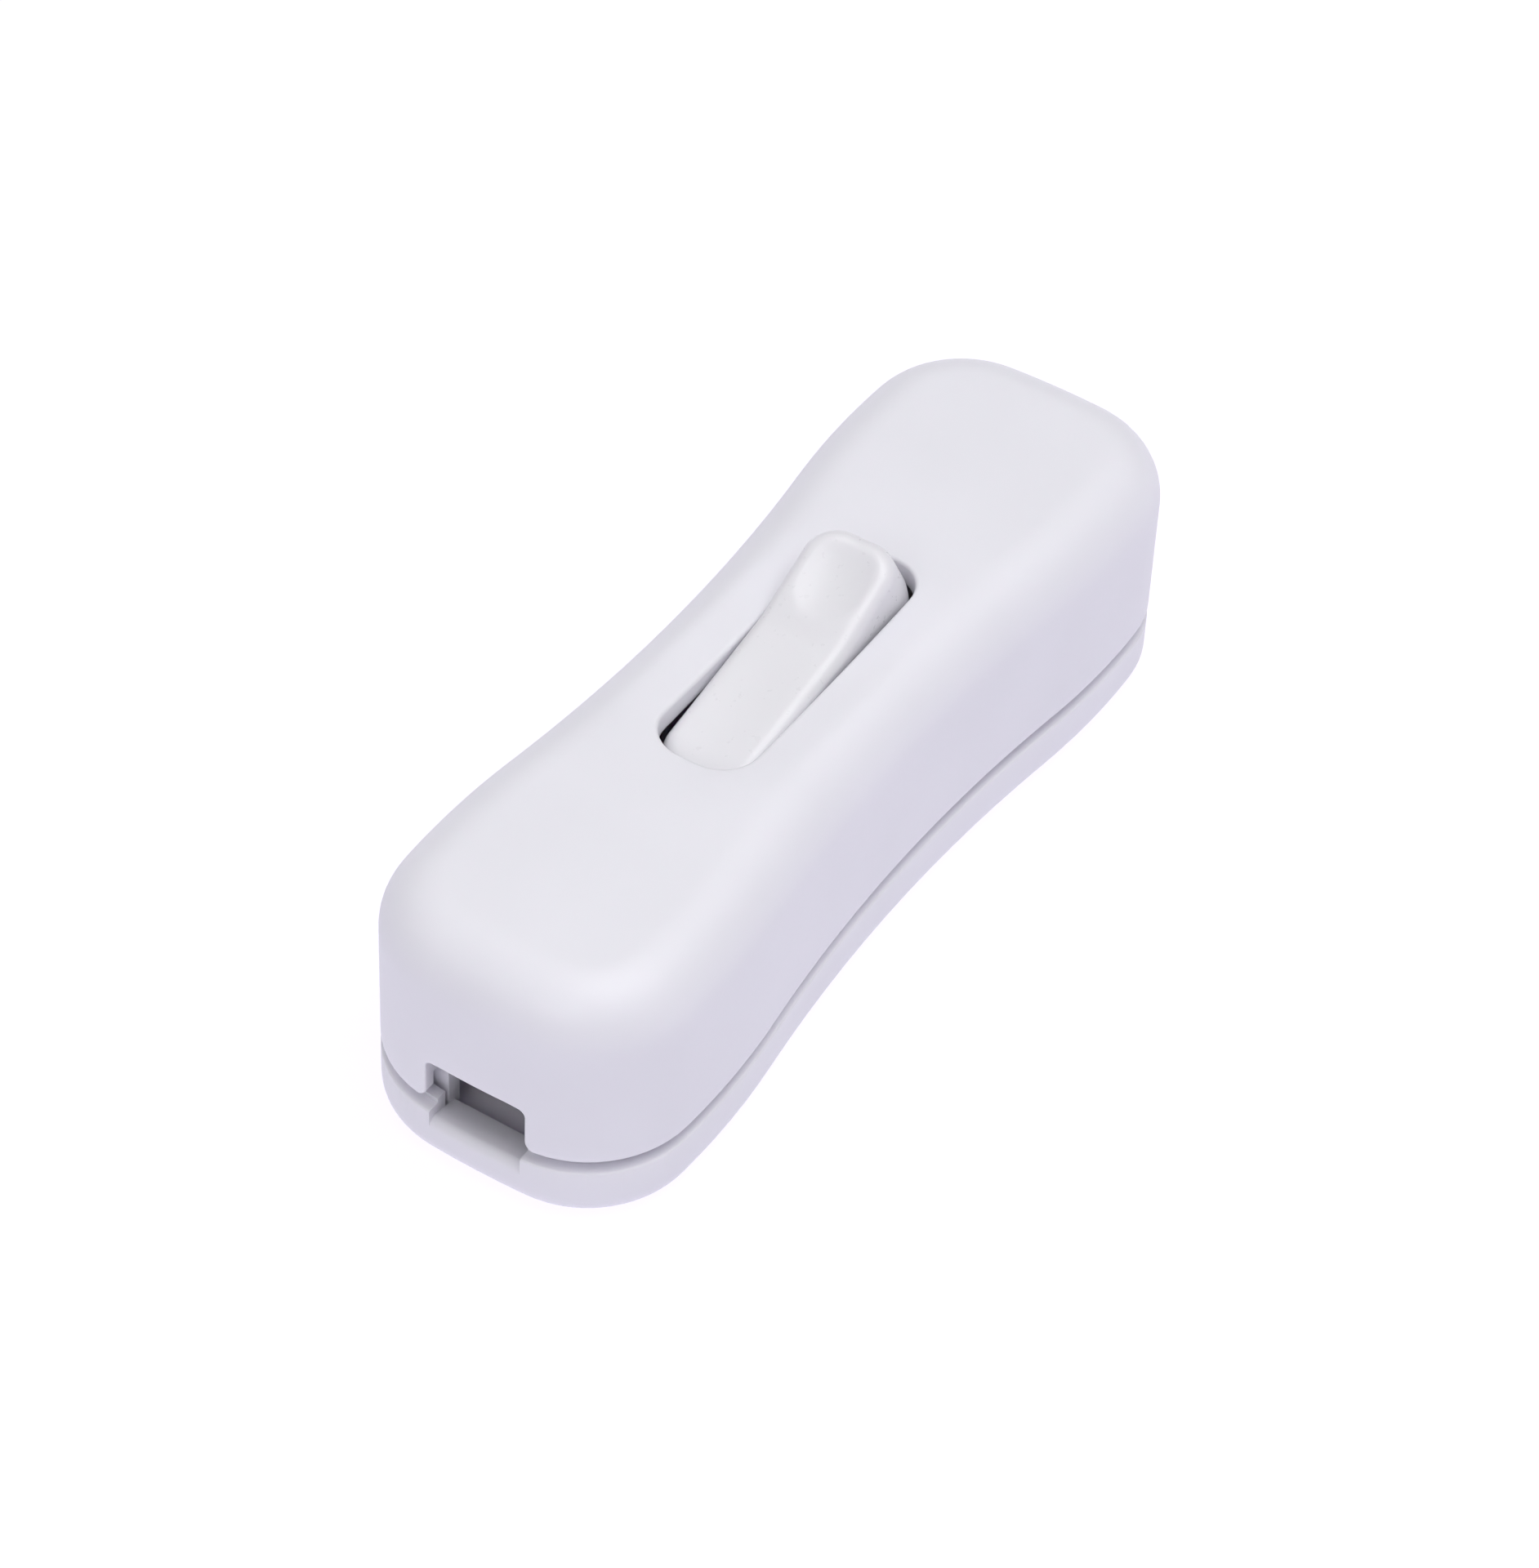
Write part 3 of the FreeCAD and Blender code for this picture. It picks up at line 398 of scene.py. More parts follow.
def metal(name, colour, roughness, line_depth):
    """Bare or plated metal with drawn lines and a blotchy tone."""
    material, shader, place = new_material(name)
    nodes, links = material.node_tree.nodes, material.node_tree.links
    drawn = nodes.new("ShaderNodeGroup")
    drawn.node_tree = bpy.data.node_groups["Drawn metal"]
    links.new(place, drawn.inputs["Vector"])
    tint = toned(material, drawn.outputs["Tone"], colour, low=0.86, high=1.04)
    links.new(tint, shader.inputs["Base Color"])
    gloss = spread(material, drawn.outputs["Tone"], low=roughness * 0.8, high=roughness * 1.25)
    links.new(gloss, shader.inputs["Roughness"])
    raised(material, shader, drawn.outputs["Height"], strength=0.25, depth=line_depth)
    shader.inputs["Metallic"].default_value = 1.0


def make_materials(scene):
    """Every finish of the switch, by name."""
    looks, metals = scene.switch_plastic, scene.switch_metal
    mould_grain_group()
    brushed_group()
    rough, fine, finest = 0.01 * MM, 0.005 * MM, 0.0025 * MM
    plastic(looks, "Satin white", looks.housing_colour, looks.housing_roughness,
            grain_size=looks.grain_size, grain_depth=rough, tone_span=0.012)
    plastic(looks, "Polished white", looks.rocker_colour, looks.rocker_roughness,
            grain_size=2 * looks.grain_size, grain_depth=finest, tone_span=0.008)
    plastic(looks, "Natural nylon", looks.clamp_colour, looks.clamp_roughness,
            grain_size=looks.grain_size, grain_depth=rough, tone_span=0.03)
    metal("Bright brass", metals.brass_colour, roughness=0.28, line_depth=fine)
    metal("Copper strip", metals.copper_colour, roughness=0.32, line_depth=fine)
    metal("Zinc plate", metals.steel_colour, roughness=0.3, line_depth=fine)
    metal("Spring wire", metals.steel_colour, roughness=0.22, line_depth=finest)
    metal("Contact silver", metals.silver_colour, roughness=0.35, line_depth=fine)


SLOT_FINISH = {
    "housing": "Satin white",
    "rocker": "Polished white",
    "clamp_nylon": "Natural nylon",
    "brass": "Bright brass",
    "bridge_metal": "Copper strip",
    "screw_steel": "Zinc plate",
    "spring_steel": "Spring wire",
    "contact_silver": "Contact silver",
}


def dress(piece, finish):
    """Give a piece one material."""
    piece.data.materials.clear()
    piece.data.materials.append(bpy.data.materials[finish])


def clear_selection():
    """Nothing selected and object mode, before an operator acts."""
    if bpy.context.object and bpy.context.object.mode != "OBJECT":
        bpy.ops.object.mode_set(mode="OBJECT")
    bpy.ops.object.select_all(action="DESELECT")


# Outlines

def steps(start, end, count):
    """Evenly spaced values from start towards end, without the end itself."""
    return [start + (end - start) * i / count for i in range(count)]


def steps_to(start, end, count):
    """Evenly spaced values from start to end, with the end itself."""
    return steps(start, end, count) + [end]


def arc(centre, radius, start, end, count):
    """Points along an arc, without its last one."""
    turns = steps(start, end, count)
    return [centre + radius * Vector((math.cos(turn), math.sin(turn))) for turn in turns]


def heading(way):
    """The angle of a plan direction."""
    return math.atan2(way.y, way.x)


def circle_crossing(centre_a, radius_a, centre_b, radius_b):
    """The outer crossing of two circles, which is the centre of a corner arc."""
    gap = centre_b - centre_a
    along = (radius_a ** 2 - radius_b ** 2 + gap.length ** 2) / (2 * gap.length)
    across = math.sqrt(radius_a ** 2 - along ** 2)
    unit = gap.normalized()
    return centre_a + unit * along + Vector((unit.y, -unit.x)) * across


def mirrored(quarter):
    """A closed outline from its first quarter, which runs from the X axis to the Y axis."""
    back = list(reversed(quarter))
    return (quarter[:-1] + [Vector((-p.x, p.y)) for p in back[:-1]]
            + [Vector((-p.x, -p.y)) for p in quarter[:-1]] + [Vector((p.x, -p.y)) for p in back[:-1]])


def housing_outline(size, inset):
    """The waisted plan of the housing, inset by a distance: end, corner, bulge and waist arcs."""
    half_length, half_width = size.body_length / 2, size.body_width / 2
    half_waist = half_width - size.waist_pinch
    bulge = Vector((half_length - size.bulge_inset, half_width - size.bulge_radius))
    drop = half_waist - bulge.y
    waist_radius = (bulge.x ** 2 + drop ** 2 - size.bulge_radius ** 2) / (2 * (size.bulge_radius - drop))
    waist = Vector((0, half_waist + waist_radius))
    end = Vector((half_length - size.end_radius, 0))
    corner = circle_crossing(bulge, size.bulge_radius - size.corner_radius,
                             end, size.end_radius - size.corner_radius)
    to_end, to_side, to_waist = heading(corner - end), heading(corner - bulge), heading(waist - bulge)
    quarter = arc(end, size.end_radius - inset, 0, to_end, HOUSING_STEPS["end"])
    quarter += arc(corner, size.corner_radius - inset, to_end, to_side, HOUSING_STEPS["corner"])
    quarter += arc(bulge, size.bulge_radius - inset, to_side, to_waist, HOUSING_STEPS["bulge"])
    quarter += arc(waist, waist_radius + inset, to_waist + math.pi, math.pi * 1.5, HOUSING_STEPS["waist"])
    return mirrored(quarter + [Vector((0, half_waist - inset))])


def oblong_outline(half_length, half_width, corner, counts):
    """A rounded oblong in plan."""
    middle = Vector((half_length - corner, half_width - corner))
    quarter = [Vector((half_length, y)) for y in steps(0, middle.y, counts["end"])]
    quarter += arc(middle, corner, 0, QUARTER_TURN, counts["corner"])
    quarter += [Vector((x, half_width)) for x in steps(middle.x, 0, counts["side"])]
    return mirrored(quarter + [Vector((0, half_width))])


def slot_outline(size, offset):
    """The rocker slot in plan, grown by a distance."""
    return oblong_outline(size.slot_length / 2 + offset, size.slot_width / 2 + offset,
                          size.slot_corner + offset, SLOT_STEPS)


def at_level(outline, z):
    """A plan outline as a level ring."""
    return [Vector((p.x, p.y, z)) for p in outline]


def between(outline_a, outline_b, share):
    """An outline part of the way from one to another."""
    return [a.lerp(b, share) for a, b in zip(outline_a, outline_b)]


# Modelling

def skinned(name, rings):
    """A closed skin: a first ring, extruded from ring to ring, with its ends filled or joined."""
    clear_selection()
    bpy.ops.mesh.primitive_circle_add(vertices=len(rings[0]), radius=MM, fill_type="NOTHING",
                                      enter_editmode=True)
    piece = bpy.context.object
    piece.name = name
    bpy.ops.mesh.select_all(action="SELECT")
    mesh = bmesh.from_edit_mesh(piece.data)
    # Each point keeps its number in the ring, and the extruded points inherit it.
    order = mesh.verts.layers.int.new("order")
    for index, vertex in enumerate(mesh.verts):
        vertex[order] = index
        vertex.co = rings[0][index]
    bmesh.update_edit_mesh(piece.data)
    for ring in rings[1:]:
        bpy.ops.mesh.extrude_region_move()
        mesh = bmesh.from_edit_mesh(piece.data)
        order = mesh.verts.layers.int["order"]
        for vertex in mesh.verts:
            if vertex.select:
                vertex.co = ring[vertex[order]]
        bmesh.update_edit_mesh(piece.data)
    mesh.verts.layers.int.remove(order)
    bpy.ops.mesh.select_all(action="SELECT")
    bpy.ops.mesh.remove_doubles(threshold=MERGE_DISTANCE)
    bpy.ops.mesh.fill_holes(sides=0)
    bpy.ops.mesh.select_all(action="SELECT")
    bpy.ops.mesh.normals_make_consistent(inside=False)
    bpy.ops.object.mode_set(mode="OBJECT")
    return piece


def turned(name, profile, x=0.0, y=0.0, count=ROUND_STEPS):
    """A turned piece: a profile of radius and height swept round an upright axis."""
    ways = [Vector((math.cos(turn), math.sin(turn), 0)) for turn in steps(0, 2 * math.pi, count)]
    rings = [[Vector((x, y, z)) + way * radius for way in ways] for radius, z in profile]
    return skinned(name, rings)


def drawn_out(name, profile, y0, y1):
    """A profile of X and Z drawn out along Y."""
    return skinned(name, [[Vector((x, y, z)) for x, z in profile] for y in (y0, y1)])


def select_only(pieces):
    """Select these pieces and nothing else, with the first one active."""
    clear_selection()
    for piece in pieces:
        piece.select_set(True)
    bpy.context.view_layer.objects.active = pieces[0]


def joined(pieces):
    """Several pieces as one object."""
    select_only(pieces)
    bpy.ops.object.join()
    return pieces[0]


def combined(piece, tool, operation):
    """Add or cut a tool piece by a boolean, and take the tool away."""
    select_only([piece])
    modifier = piece.modifiers.new("Combine", "BOOLEAN")
    modifier.operation = operation
    modifier.solver = "EXACT"
    modifier.object = tool
    bpy.ops.object.modifier_apply(modifier=modifier.name)
    bpy.data.objects.remove(tool)


def finished(piece, finish, body, node):
    """Clean and shade a modelled piece, dress it and let it stand for its CAD node."""
    select_only([piece])
    bpy.ops.object.mode_set(mode="EDIT")
    bpy.ops.mesh.select_all(action="SELECT")
    bpy.ops.mesh.remove_doubles(threshold=FINE_MERGE_DISTANCE)
    bpy.ops.object.mode_set(mode="OBJECT")
    bpy.ops.object.shade_smooth_by_angle(angle=SMOOTH_ANGLE)
    dress(piece, finish)
    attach(piece, body)
    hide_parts(node)


def soft_min(a, b, blend):
    """The lower of two heights, with the corner between them blended."""
    share = min(max(0.5 + 0.5 * (b - a) / blend, 0.0), 1.0)
    return b * (1 - share) + a * share - blend * share * (1 - share)


def pivot_height():
    """Height of the rocker's axis, from the frame."""
    joints = {joint["name"]: joint for joint in frame["record"]["behaviour"]["joints"]}
    return joints["rocker_tilt"]["pos_m"][2]


# Cover

def rounded_level(size, top, inset):
    """Height of the top with its rounded edge, by the distance in from the side."""
    radius = size.top_rounding
    if inset >= radius:
        return top
    return top - radius + math.sqrt(radius ** 2 - (radius - inset) ** 2)


def dish_level(size, top, place):
    """Height of the oval dish, which is part of a large ring."""
    depth = size.dish_depth
    long_radius = (size.dish_length ** 2 / 4 + depth ** 2) / (2 * depth)
    short_radius = (size.dish_width ** 2 / 4 + depth ** 2) / (2 * depth)
    across = long_radius - short_radius + math.sqrt(short_radius ** 2 - place.y ** 2)
    return top + long_radius - depth - math.sqrt(across ** 2 - place.x ** 2)


def cover_ring(size, top, outline, inset):
    """A ring that lies on the cover's top."""
    level, blend = rounded_level(size, top, inset), size.dish_blend
    return [Vector((p.x, p.y, soft_min(level, dish_level(size, top, p), blend))) for p in outline]


def cover_rings(size, foot, top):
    """The cover's skin, from the slot over the top, down the side and back along the inside."""
    radius, edge, rim = size.top_rounding, size.slot_edge, size.rim_rounding
    ceiling = top - size.ceiling
    slot = slot_outline(size, 0)
    flat = housing_outline(size, radius)
    brim = slot_outline(size, edge)
    rings = [at_level(slot, ceiling)]
    brim_level = [p.z for p in cover_ring(size, top, brim, radius)]
    for turn in steps(0, QUARTER_TURN, COVER_STEPS["slot edge"]):
        grown = slot_outline(size, edge * (1 - math.cos(turn)))
        fall = edge - edge * math.sin(turn)
        rings.append([Vector((p.x, p.y, z - fall)) for p, z in zip(grown, brim_level)])
    for share in steps(0, 1, COVER_STEPS["top"]):
        rings.append(cover_ring(size, top, between(brim, flat, share), radius))
    for turn in steps(0, QUARTER_TURN, COVER_STEPS["round edge"]):
        inset = radius * (1 - math.sin(turn))
        rings.append(cover_ring(size, top, housing_outline(size, inset), inset))
    side = housing_outline(size, 0)
    rings += [at_level(side, z) for z in steps(top - radius, foot + rim, COVER_STEPS["side"])]
    for turn in steps(0, QUARTER_TURN, COVER_STEPS["rim"]):
        outline = housing_outline(size, rim * (1 - math.cos(turn)))
        rings.append(at_level(outline, foot + rim * (1 - math.sin(turn))))
    rings.append(at_level(housing_outline(size, rim), foot))

    lip = housing_outline(size, size.lip_wall)
    room = housing_outline(size, size.wall)
    lip_top = foot + size.lip_height
    rings += [at_level(lip, foot), at_level(lip, lip_top), at_level(room, lip_top)]
    inner = radius - size.wall
    for turn in steps(0, QUARTER_TURN, COVER_STEPS["inner corner"]):
        outline = housing_outline(size, size.wall + inner * (1 - math.cos(turn)))
        rings.append(at_level(outline, ceiling - inner + inner * math.sin(turn)))
    for share in steps(0, 1, COVER_STEPS["ceiling"]):
        rings.append(at_level(between(flat, slot, share), ceiling))
    return rings + [rings[0]]


def mouth_profile(size, foot, grow):
    """The cord entry seen from the end, with rounded feet and upper corners, grown by a distance."""
    half_width, corner, flare = size.entry_width / 2, size.entry_corner, size.entry_foot
    outer = half_width + flare
    points = [Vector((outer, foot - size.wall))]
    points += arc(Vector((outer, foot + flare)), flare - grow, math.radians(270), math.radians(180),
                  MOUTH_STEPS["foot"])
    points.append(Vector((half_width + grow, foot + flare)))
    points += arc(Vector((half_width - corner, size.entry_top - corner)), corner + grow, 0, QUARTER_TURN,
                  MOUTH_STEPS["corner"])
    points.append(Vector((half_width - corner, size.entry_top + grow)))
    return points + [Vector((-p.x, p.y)) for p in reversed(points)]


def entry_tool(size, foot, end):
    """The tool that cuts one cord entry, flared at its mouth."""
    rim = size.rim_rounding
    centre_x = size.body_length / 2 - size.end_radius

    def ring(depth, grow):
        points = []
        for p in mouth_profile(size, foot, grow):
            face = centre_x + math.sqrt(size.end_radius ** 2 - p.x ** 2)
            points.append(Vector((end * (face - depth), p.x, p.y)))
        return points

    rings = [ring(2 * size.wall, 0)]
    for turn in steps(0, QUARTER_TURN, MOUTH_STEPS["edge"]):
        rings.append(ring(rim * (1 - math.sin(turn)), rim * (1 - math.cos(turn))))
    return skinned("entry_tool", rings + [ring(0, rim), ring(-size.wall, rim)])


def cheek(size, side, pivot_z, ceiling):
    """A bearing cheek with an open bore and a lead-in, that a trunnion clicks into."""
    half, throat, bore = size.cheek_width / 2, size.cheek_throat / 2, size.cheek_bore
    low = pivot_z - size.cheek_drop
    mouth = math.acos(throat / bore)
    right = [(throat, low + throat), (2 * throat, low), (half, low), (half, ceiling + size.slot_edge)]
    left = [(-x, z) for x, z in reversed(right)]
    turns = steps_to(math.pi + mouth, -mouth, BORE_STEPS)
    round_bore = [(bore * math.cos(turn), pivot_z + bore * math.sin(turn)) for turn in turns]
    inner = side * size.slot_width / 2
    return drawn_out("cheek", left + round_bore + right, inner, inner + side * size.cheek_wall)


def boss(size, x, y, ceiling):
    """A screw boss under the top, with its hole."""
    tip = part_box("case_screw_near")[1].z + size.slot_edge
    profile = [(size.boss_radius, ceiling + size.slot_edge), (size.boss_radius, size.boss_foot),
               (size.boss_bore, size.boss_foot), (size.boss_bore, tip)]
    return turned("boss", profile, x, y)


def middle_of(node):
    """The middle of a CAD node's box."""
    low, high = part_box(node)
    return (low + high) / 2


# Base

def merged_copy(node, name):
    """A copy of a CAD node's mesh with its doubled points merged."""
    piece = bpy.data.objects.new(name, frame["nodes"][node].data.copy())
    piece.matrix_world = frame["nodes"][node].matrix_world
    bpy.context.scene.collection.objects.link(piece)
    select_only([piece])
    bpy.ops.object.transform_apply(location=True, rotation=True, scale=True)
    bpy.ops.object.mode_set(mode="EDIT")
    bpy.ops.mesh.select_all(action="SELECT")
    bpy.ops.mesh.remove_doubles(threshold=MERGE_DISTANCE)
    bpy.ops.mesh.customdata_custom_splitnormals_clear()
    bpy.ops.mesh.normals_make_consistent(inside=False)
    bpy.ops.object.mode_set(mode="OBJECT")
    return piece


def rim_tool(size):
    """The band that lowers the outer rim beside the groove and leaves it a small rounding."""
    radius, level = size.rim_rounding, size.base_rim
    outer, upper = -size.wall / 4, level + size.wall * 3 / 4
    centre_inset, centre_z = radius - OVERLAP, level - radius
    profile = [(outer, centre_z)]
    for turn in steps_to(0, QUARTER_TURN, RIM_STEPS):
        profile.append((centre_inset - radius * math.cos(turn), centre_z + radius * math.sin(turn)))
    profile += [(size.groove_depth, level), (size.groove_depth, upper), (outer, upper)]
    rings = [at_level(housing_outline(size, inset), z) for inset, z in profile]
    return skinned("rim_tool", rings + [rings[0]])


def sill_tool(size, end):
    """The tool that rounds the front edge of one cord sill, along the bowed end face."""
    radius = size.sill_rounding
    half_width = size.sill_width / 2 + OVERLAP
    centre_x = size.body_length / 2 - size.end_radius
    centre_z = size.sill_height - radius + OVERLAP
    rings = []
    for y in steps_to(-half_width, half_width, SILL_STEPS):
        face = centre_x + math.sqrt(size.end_radius ** 2 - y ** 2) + OVERLAP
        points = [(face - radius, centre_z + 2 * radius), (face + radius, centre_z + 2 * radius),
                  (face + radius, centre_z)]
        for turn in steps_to(0, QUARTER_TURN, SILL_STEPS):
            points.append((face - radius + radius * math.cos(turn), centre_z + radius * math.sin(turn)))
        rings.append([Vector((end * x, y, z)) for x, z in points])
    return skinned("sill_tool", rings)


# Rocker

def finger_dip(size, x, y, start, end, depth):
    """How far one oval finger dish lowers the top at a place."""
    along = (x - (start + end) / 2) / ((end - start) / 2)
    across = y / (size.dish_width / 2)
    return soft_min(depth * (along ** 2 + across ** 2 - 1), 0.0, size.dish_blend)


def rocker_top(size, x, y, with_dishes=True):
    """Height of the level rocker's top above the pivot: a soft vee with two finger dishes."""
    corner_z = size.saddle + size.rise
    reach = math.sqrt(size.half_length ** 2 - corner_z ** 2)
    side = reach - math.copysign(size.saddle_offset, x - size.saddle_offset)
    level = size.saddle + size.rise / side * math.hypot(x - size.saddle_offset, size.saddle_blend)
    if not with_dishes:
        return level
    far = finger_dip(size, x, y, size.far_dish_start, size.far_dish_end, size.far_dish_depth)
    near = finger_dip(size, x, y, -size.near_dish_end, size.near_dish_start, size.near_dish_depth)
    return level + far + near


def rocker_half_length(size, z):
    """Half the rocker's length at a height above the pivot: its ends lean in above it and below it."""
    corner_z = size.saddle + size.rise
    limit = corner_z if z > 0 else size.skirt
    corner = math.sqrt(size.half_length ** 2 - limit ** 2)
    return size.half_length + (corner - size.half_length) * min(abs(z) / limit, 1.0)


def rocker_outline(size, inset):
    """The level rocker's plan at its longest, inset by a distance."""
    return oblong_outline(size.half_length - inset, size.width / 2 - inset, size.corner - inset,
                          ROCKER_STEPS)


def leaned(size, place, z):
    """A point of the rocker's plan, moved in along the body as its ends lean in."""
    shift = size.half_length - rocker_half_length(size, z)
    straight = size.half_length - size.corner
    share = min(max(place.x / straight, -1.0), 1.0)
    return Vector((place.x - shift * share, place.y, z))


def spine(size, outline):
    """For each point of an outline, the nearest point of the line down the rocker's middle."""
    reach = size.half_length - size.width / 2 - size.corner / 2
    return [Vector((min(max(p.x, -reach), reach), 0)) for p in outline]


def roof_ring(size, outline):
    """A ring on the inside of the rocker's roof."""
    levels = [rocker_top(size, p.x, p.y, with_dishes=False) - size.roof for p in outline]
    return [Vector((p.x, p.y, z)) for p, z in zip(outline, levels)]


def rocker_rings(size):
    """The level rocker's skin about its pivot: top, sides, skirt and the hollow under it."""
    edge = size.edge
    corner_z = size.saddle + size.rise
    rim = [leaned(size, p, corner_z).to_2d() for p in rocker_outline(size, edge)]
    line = spine(size, rim)
    rings = []
    for share in steps(1, 0, BUTTON_STEPS["top"]):
        rings.append([Vector((p.x, p.y, rocker_top(size, p.x, p.y))) for p in between(rim, line, share)])
    rim_z = [rocker_top(size, p.x, p.y) for p in rim]
    for turn in steps(0, QUARTER_TURN, BUTTON_STEPS["edge"]):
        outline = rocker_outline(size, edge * (1 - math.sin(turn)))
        fall = edge * (1 - math.cos(turn))
        rings.append([leaned(size, p, z - fall) for p, z in zip(outline, rim_z)])
    side = rocker_outline(size, 0)
    for share in steps_to(0, 1, BUTTON_STEPS["side"]):
        levels = [(z - edge) * (1 - share) - size.skirt * share for z in rim_z]
        rings.append([leaned(size, p, z) for p, z in zip(side, levels)])
    inner = rocker_outline(size, size.wall)
    rings.append([leaned(size, p, -size.skirt) for p in inner])
    roof = [leaned(size, p, corner_z).to_2d() for p in inner]
    for share in steps_to(0, 1, BUTTON_STEPS["roof"]):
        rings.append(roof_ring(size, between(roof, spine(size, roof), share)))
    return rings


# Operators

class SWITCH_OT_cover(bpy.types.Operator):
    """Model the upper half of the housing: rounded shell, soft dish, slot, entries, cheeks and bosses"""
    bl_idname = "switch.cover"
    bl_label = "Cover"

    def execute(self, context):
        size = context.scene.switch_housing
        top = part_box("top_cover")[1].z
        ceiling = top - size.ceiling
        shell = skinned("cover", cover_rings(size, size.cover_rim, top))
        tools = [entry_tool(size, size.cover_rim, end) for end in (-1, 1)]
        combined(shell, joined(tools), "DIFFERENCE")
        fittings = [cheek(size, side, pivot_height(), ceiling) for side in (-1, 1)]
        for node in ("case_screw_near", "case_screw_far"):
            middle = middle_of(node)
            fittings.append(boss(size, middle.x, middle.y, ceiling))
        combined(shell, joined(fittings), "UNION")
        finished(shell, "Satin white", "housing", "top_cover")
        return {"FINISHED"}


class SWITCH_OT_base(bpy.types.Operator):
    """Open the groove and round the front edges of the cord sills in the lower half of the housing"""
    bl_idname = "switch.base"
    bl_label = "Base"

    def execute(self, context):
        size = context.scene.switch_housing
        shell = merged_copy("base_shell", "base")
        combined(shell, rim_tool(size), "DIFFERENCE")
        tools = [sill_tool(size, end) for end in (-1, 1)]
        combined(shell, joined(tools), "DIFFERENCE")
        finished(shell, "Satin white", "housing", "base_shell")
        return {"FINISHED"}


class SWITCH_OT_rocker(bpy.types.Operator):
    """Model the rocker: soft vee top with two finger dishes, leaning ends, plunger tube and trunnions"""
    bl_idname = "switch.rocker"
    bl_label = "Rocker"

    def execute(self, context):
        size = context.scene.switch_rocker
        body = skinned("rocker_button", rocker_rings(size))
        tube_top = size.saddle - size.roof + size.edge
        tube = turned("tube", [(size.barrel_radius, tube_top), (size.barrel_radius, -size.barrel_reach)])
        combined(body, tube, "UNION")
        half = size.width / 2 + size.trunnion_length
        pin_profile = [(size.trunnion_radius, -half), (size.trunnion_radius, half)]
        pins = turned("pins", pin_profile, count=PIN_STEPS)
        pins.data.transform(Matrix.Rotation(QUARTER_TURN, 4, "X"))
        combined(body, pins, "UNION")
        below = -2 * size.barrel_reach
        bore = turned("bore", [(size.bore_radius, size.bore_top), (size.bore_radius, below)])
        combined(body, bore, "DIFFERENCE")
        to_pivot = Matrix.Translation((0, 0, pivot_height()))
        body.data.transform(to_pivot @ Matrix.Rotation(-size.tilt, 4, "Y"))
        finished(body, "Polished white", "rocker", "rocker")
        return {"FINISHED"}


class SWITCH_OT_finishes(bpy.types.Operator):
    """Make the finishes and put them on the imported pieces"""
    bl_idname = "switch.finishes"
    bl_label = "Finishes"

    def execute(self, context):
        make_materials(context.scene)
        for row in frame["record"]["subparts"]:
            dress(frame["nodes"][row["node"]], SLOT_FINISH[row["material_slot"]])
        return {"FINISHED"}


def camera_turn(studio):
    """The camera's rotation from its azimuth, elevation and roll."""
    tip = Matrix.Rotation(math.radians(90) - studio.elevation, 3, "X")
    return Matrix.Rotation(studio.azimuth, 3, "Z") @ tip @ Matrix.Rotation(studio.roll, 3, "Z")


def softbox(name, place, width, depth, power):
    """A rectangular area light that looks at the switch."""
    clear_selection()
    bpy.ops.object.light_add(type="AREA", location=place)
    lamp = bpy.context.object
    lamp.name = name
    lamp.data.shape = "RECTANGLE"
    lamp.data.size = width
    lamp.data.size_y = depth
    lamp.data.energy = power
    lamp.rotation_euler = (-Vector(place)).to_track_quat("-Z", "Y").to_euler()


def paper_floor(studio):
    """A white paper floor that glows a little, so that it hardly takes a shadow."""
    clear_selection()
    bpy.ops.mesh.primitive_plane_add(size=studio.floor_size, location=(0, 0, -studio.floor_drop))
    floor = bpy.context.object
    floor.name = "paper_floor"
    material, shader, place = new_material("White paper")
    links = material.node_tree.links
    fibre = noise(material.node_tree, place, scale=900.0).outputs["Fac"]
    glow = toned(material, fibre, studio.floor_colour, low=0.995, high=1.0)
    links.new(glow, shader.inputs["Emission Color"])
    shader.inputs["Emission Strength"].default_value = studio.floor_glow
    dim = [part * studio.floor_share for part in studio.floor_colour]
    links.new(toned(material, fibre, dim, low=0.995, high=1.0), shader.inputs["Base Color"])
    shader.inputs["Roughness"].default_value = 0.9
    floor.data.materials.append(material)
    return floor


def photo_camera(studio):
    """The camera that sees the switch as the photograph does."""
    clear_selection()
    turn = camera_turn(studio)
    stand = Vector(studio.aim) + turn @ Vector((0, 0, studio.distance))
    bpy.ops.object.camera_add(location=stand, rotation=turn.to_euler())
    camera = bpy.context.object
    camera.name = "photo_camera"
    camera.data.sensor_fit = "VERTICAL"
    camera.data.sensor_height = SENSOR_HEIGHT
    camera.data.lens = studio.lens
    camera.data.clip_start = CLIP_START
    return camera


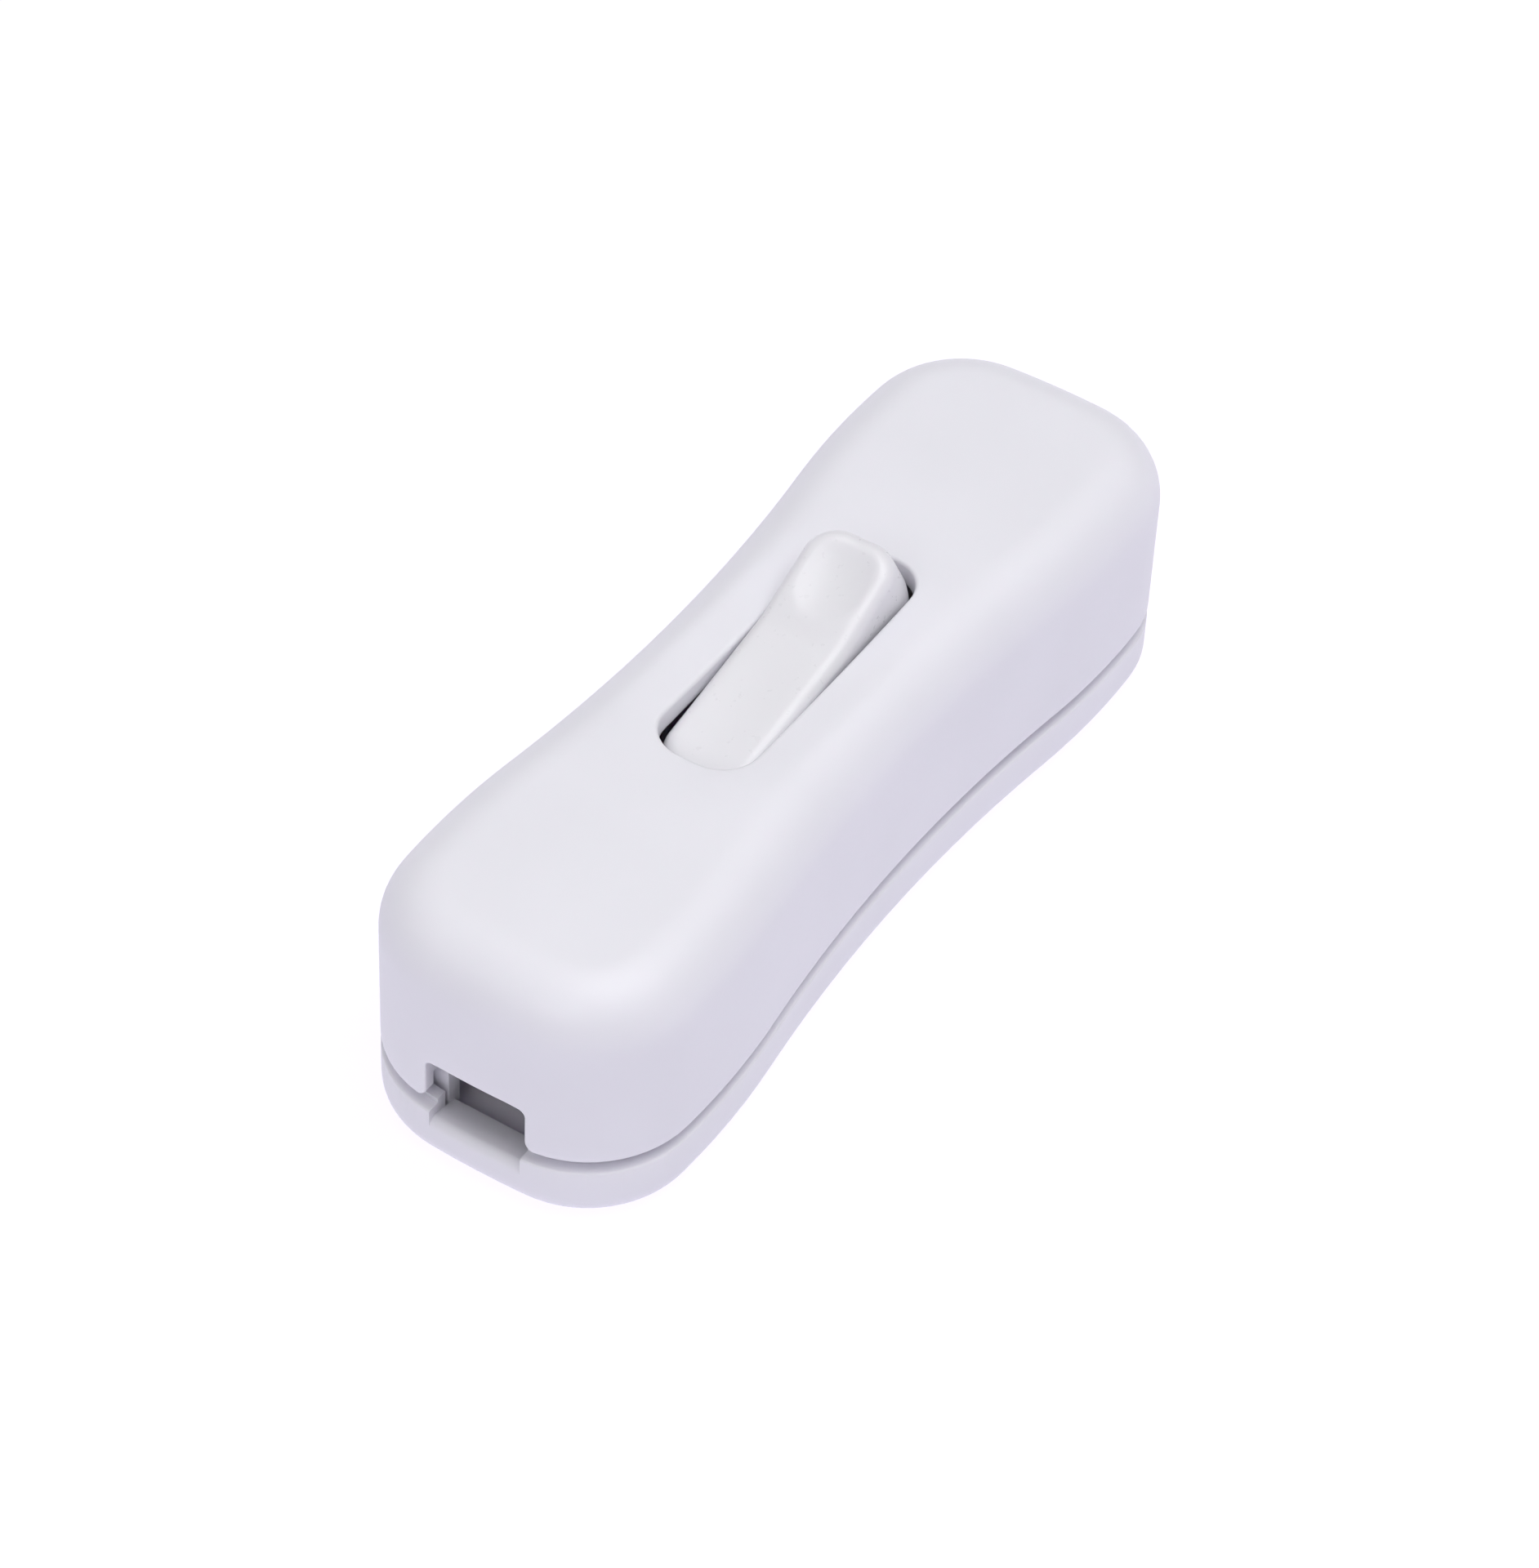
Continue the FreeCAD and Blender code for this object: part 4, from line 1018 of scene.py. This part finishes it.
def white_room(studio):
    """A world that is brightest overhead and dimmer towards the horizon, with white beyond the floor."""
    world = bpy.data.worlds.new("White room")
    world.use_nodes = True
    nodes, links = world.node_tree.nodes, world.node_tree.links
    place = nodes.new("ShaderNodeTexCoord")
    height = nodes.new("ShaderNodeSeparateXYZ")
    links.new(place.outputs["Generated"], height.inputs["Vector"])
    level = nodes.new("ShaderNodeMapRange")
    level.inputs["To Min"].default_value = studio.room_light * studio.room_horizon
    level.inputs["To Max"].default_value = studio.room_light
    links.new(height.outputs["Z"], level.inputs["Value"])
    beyond = nodes.new("ShaderNodeMath")
    beyond.operation = "LESS_THAN"
    beyond.inputs[1].default_value = studio.room_edge
    links.new(height.outputs["Z"], beyond.inputs[0])
    brightest = nodes.new("ShaderNodeMath")
    brightest.operation = "MAXIMUM"
    links.new(level.outputs["Result"], brightest.inputs[0])
    links.new(beyond.outputs["Value"], brightest.inputs[1])
    links.new(brightest.outputs["Value"], nodes["Background"].inputs["Strength"])
    nodes["Background"].inputs["Color"].default_value = studio.room_colour
    return world


class SWITCH_OT_studio(bpy.types.Operator):
    """Floor, soft lights, white room and the camera"""
    bl_idname = "switch.studio"
    bl_label = "Studio"

    def execute(self, context):
        studio = context.scene.switch_studio
        floor = paper_floor(studio)
        softbox("Top softbox", studio.top_place, studio.top_width, studio.top_depth, studio.top_light)
        softbox("Near fill", studio.fill_place, studio.fill_width, studio.fill_depth, studio.fill_light)
        context.scene.world = white_room(studio)
        context.scene.camera = photo_camera(studio)
        context.scene.view_settings.view_transform = "Standard"
        return {"FINISHED"}


class SWITCH_PT_panel(bpy.types.Panel):
    """Lists the steps and the settings"""
    bl_idname = "SWITCH_PT_panel"
    bl_label = "Inline cord switch"
    bl_space_type = "VIEW_3D"
    bl_region_type = "UI"
    bl_category = "Switch"

    def draw(self, context):
        for step in STEPS:
            self.layout.operator(step)
        for group in SETTINGS:
            settings = getattr(context.scene, group)
            box = self.layout.box()
            for name in settings.__annotations__:
                box.prop(settings, name)


STEPS = ("switch.finishes", "switch.cover", "switch.base", "switch.rocker", "switch.studio")
SETTINGS = {
    "switch_housing": HousingSettings,
    "switch_rocker": RockerSettings,
    "switch_plastic": PlasticSettings,
    "switch_metal": MetalSettings,
    "switch_studio": StudioSettings,
}
CLASSES = (*SETTINGS.values(), SWITCH_OT_finishes, SWITCH_OT_cover, SWITCH_OT_base, SWITCH_OT_rocker,
           SWITCH_OT_studio, SWITCH_PT_panel)


def register():
    """Add the classes, and the settings to the scene."""
    for each in CLASSES:
        bpy.utils.register_class(each)
    for name, group in SETTINGS.items():
        setattr(bpy.types.Scene, name, bpy.props.PointerProperty(type=group))


def unregister():
    """Take the settings and the classes away again."""
    for name in SETTINGS:
        delattr(bpy.types.Scene, name)
    for each in reversed(CLASSES):
        bpy.utils.unregister_class(each)


def run_step(name):
    """Call one of the operators by its name."""
    category, step = name.split(".")
    getattr(getattr(bpy.ops, category), step)()


def main():
    """Run every step in order."""
    register()
    for name in STEPS:
        run_step(name)


if __name__ == "__main__":
    main()
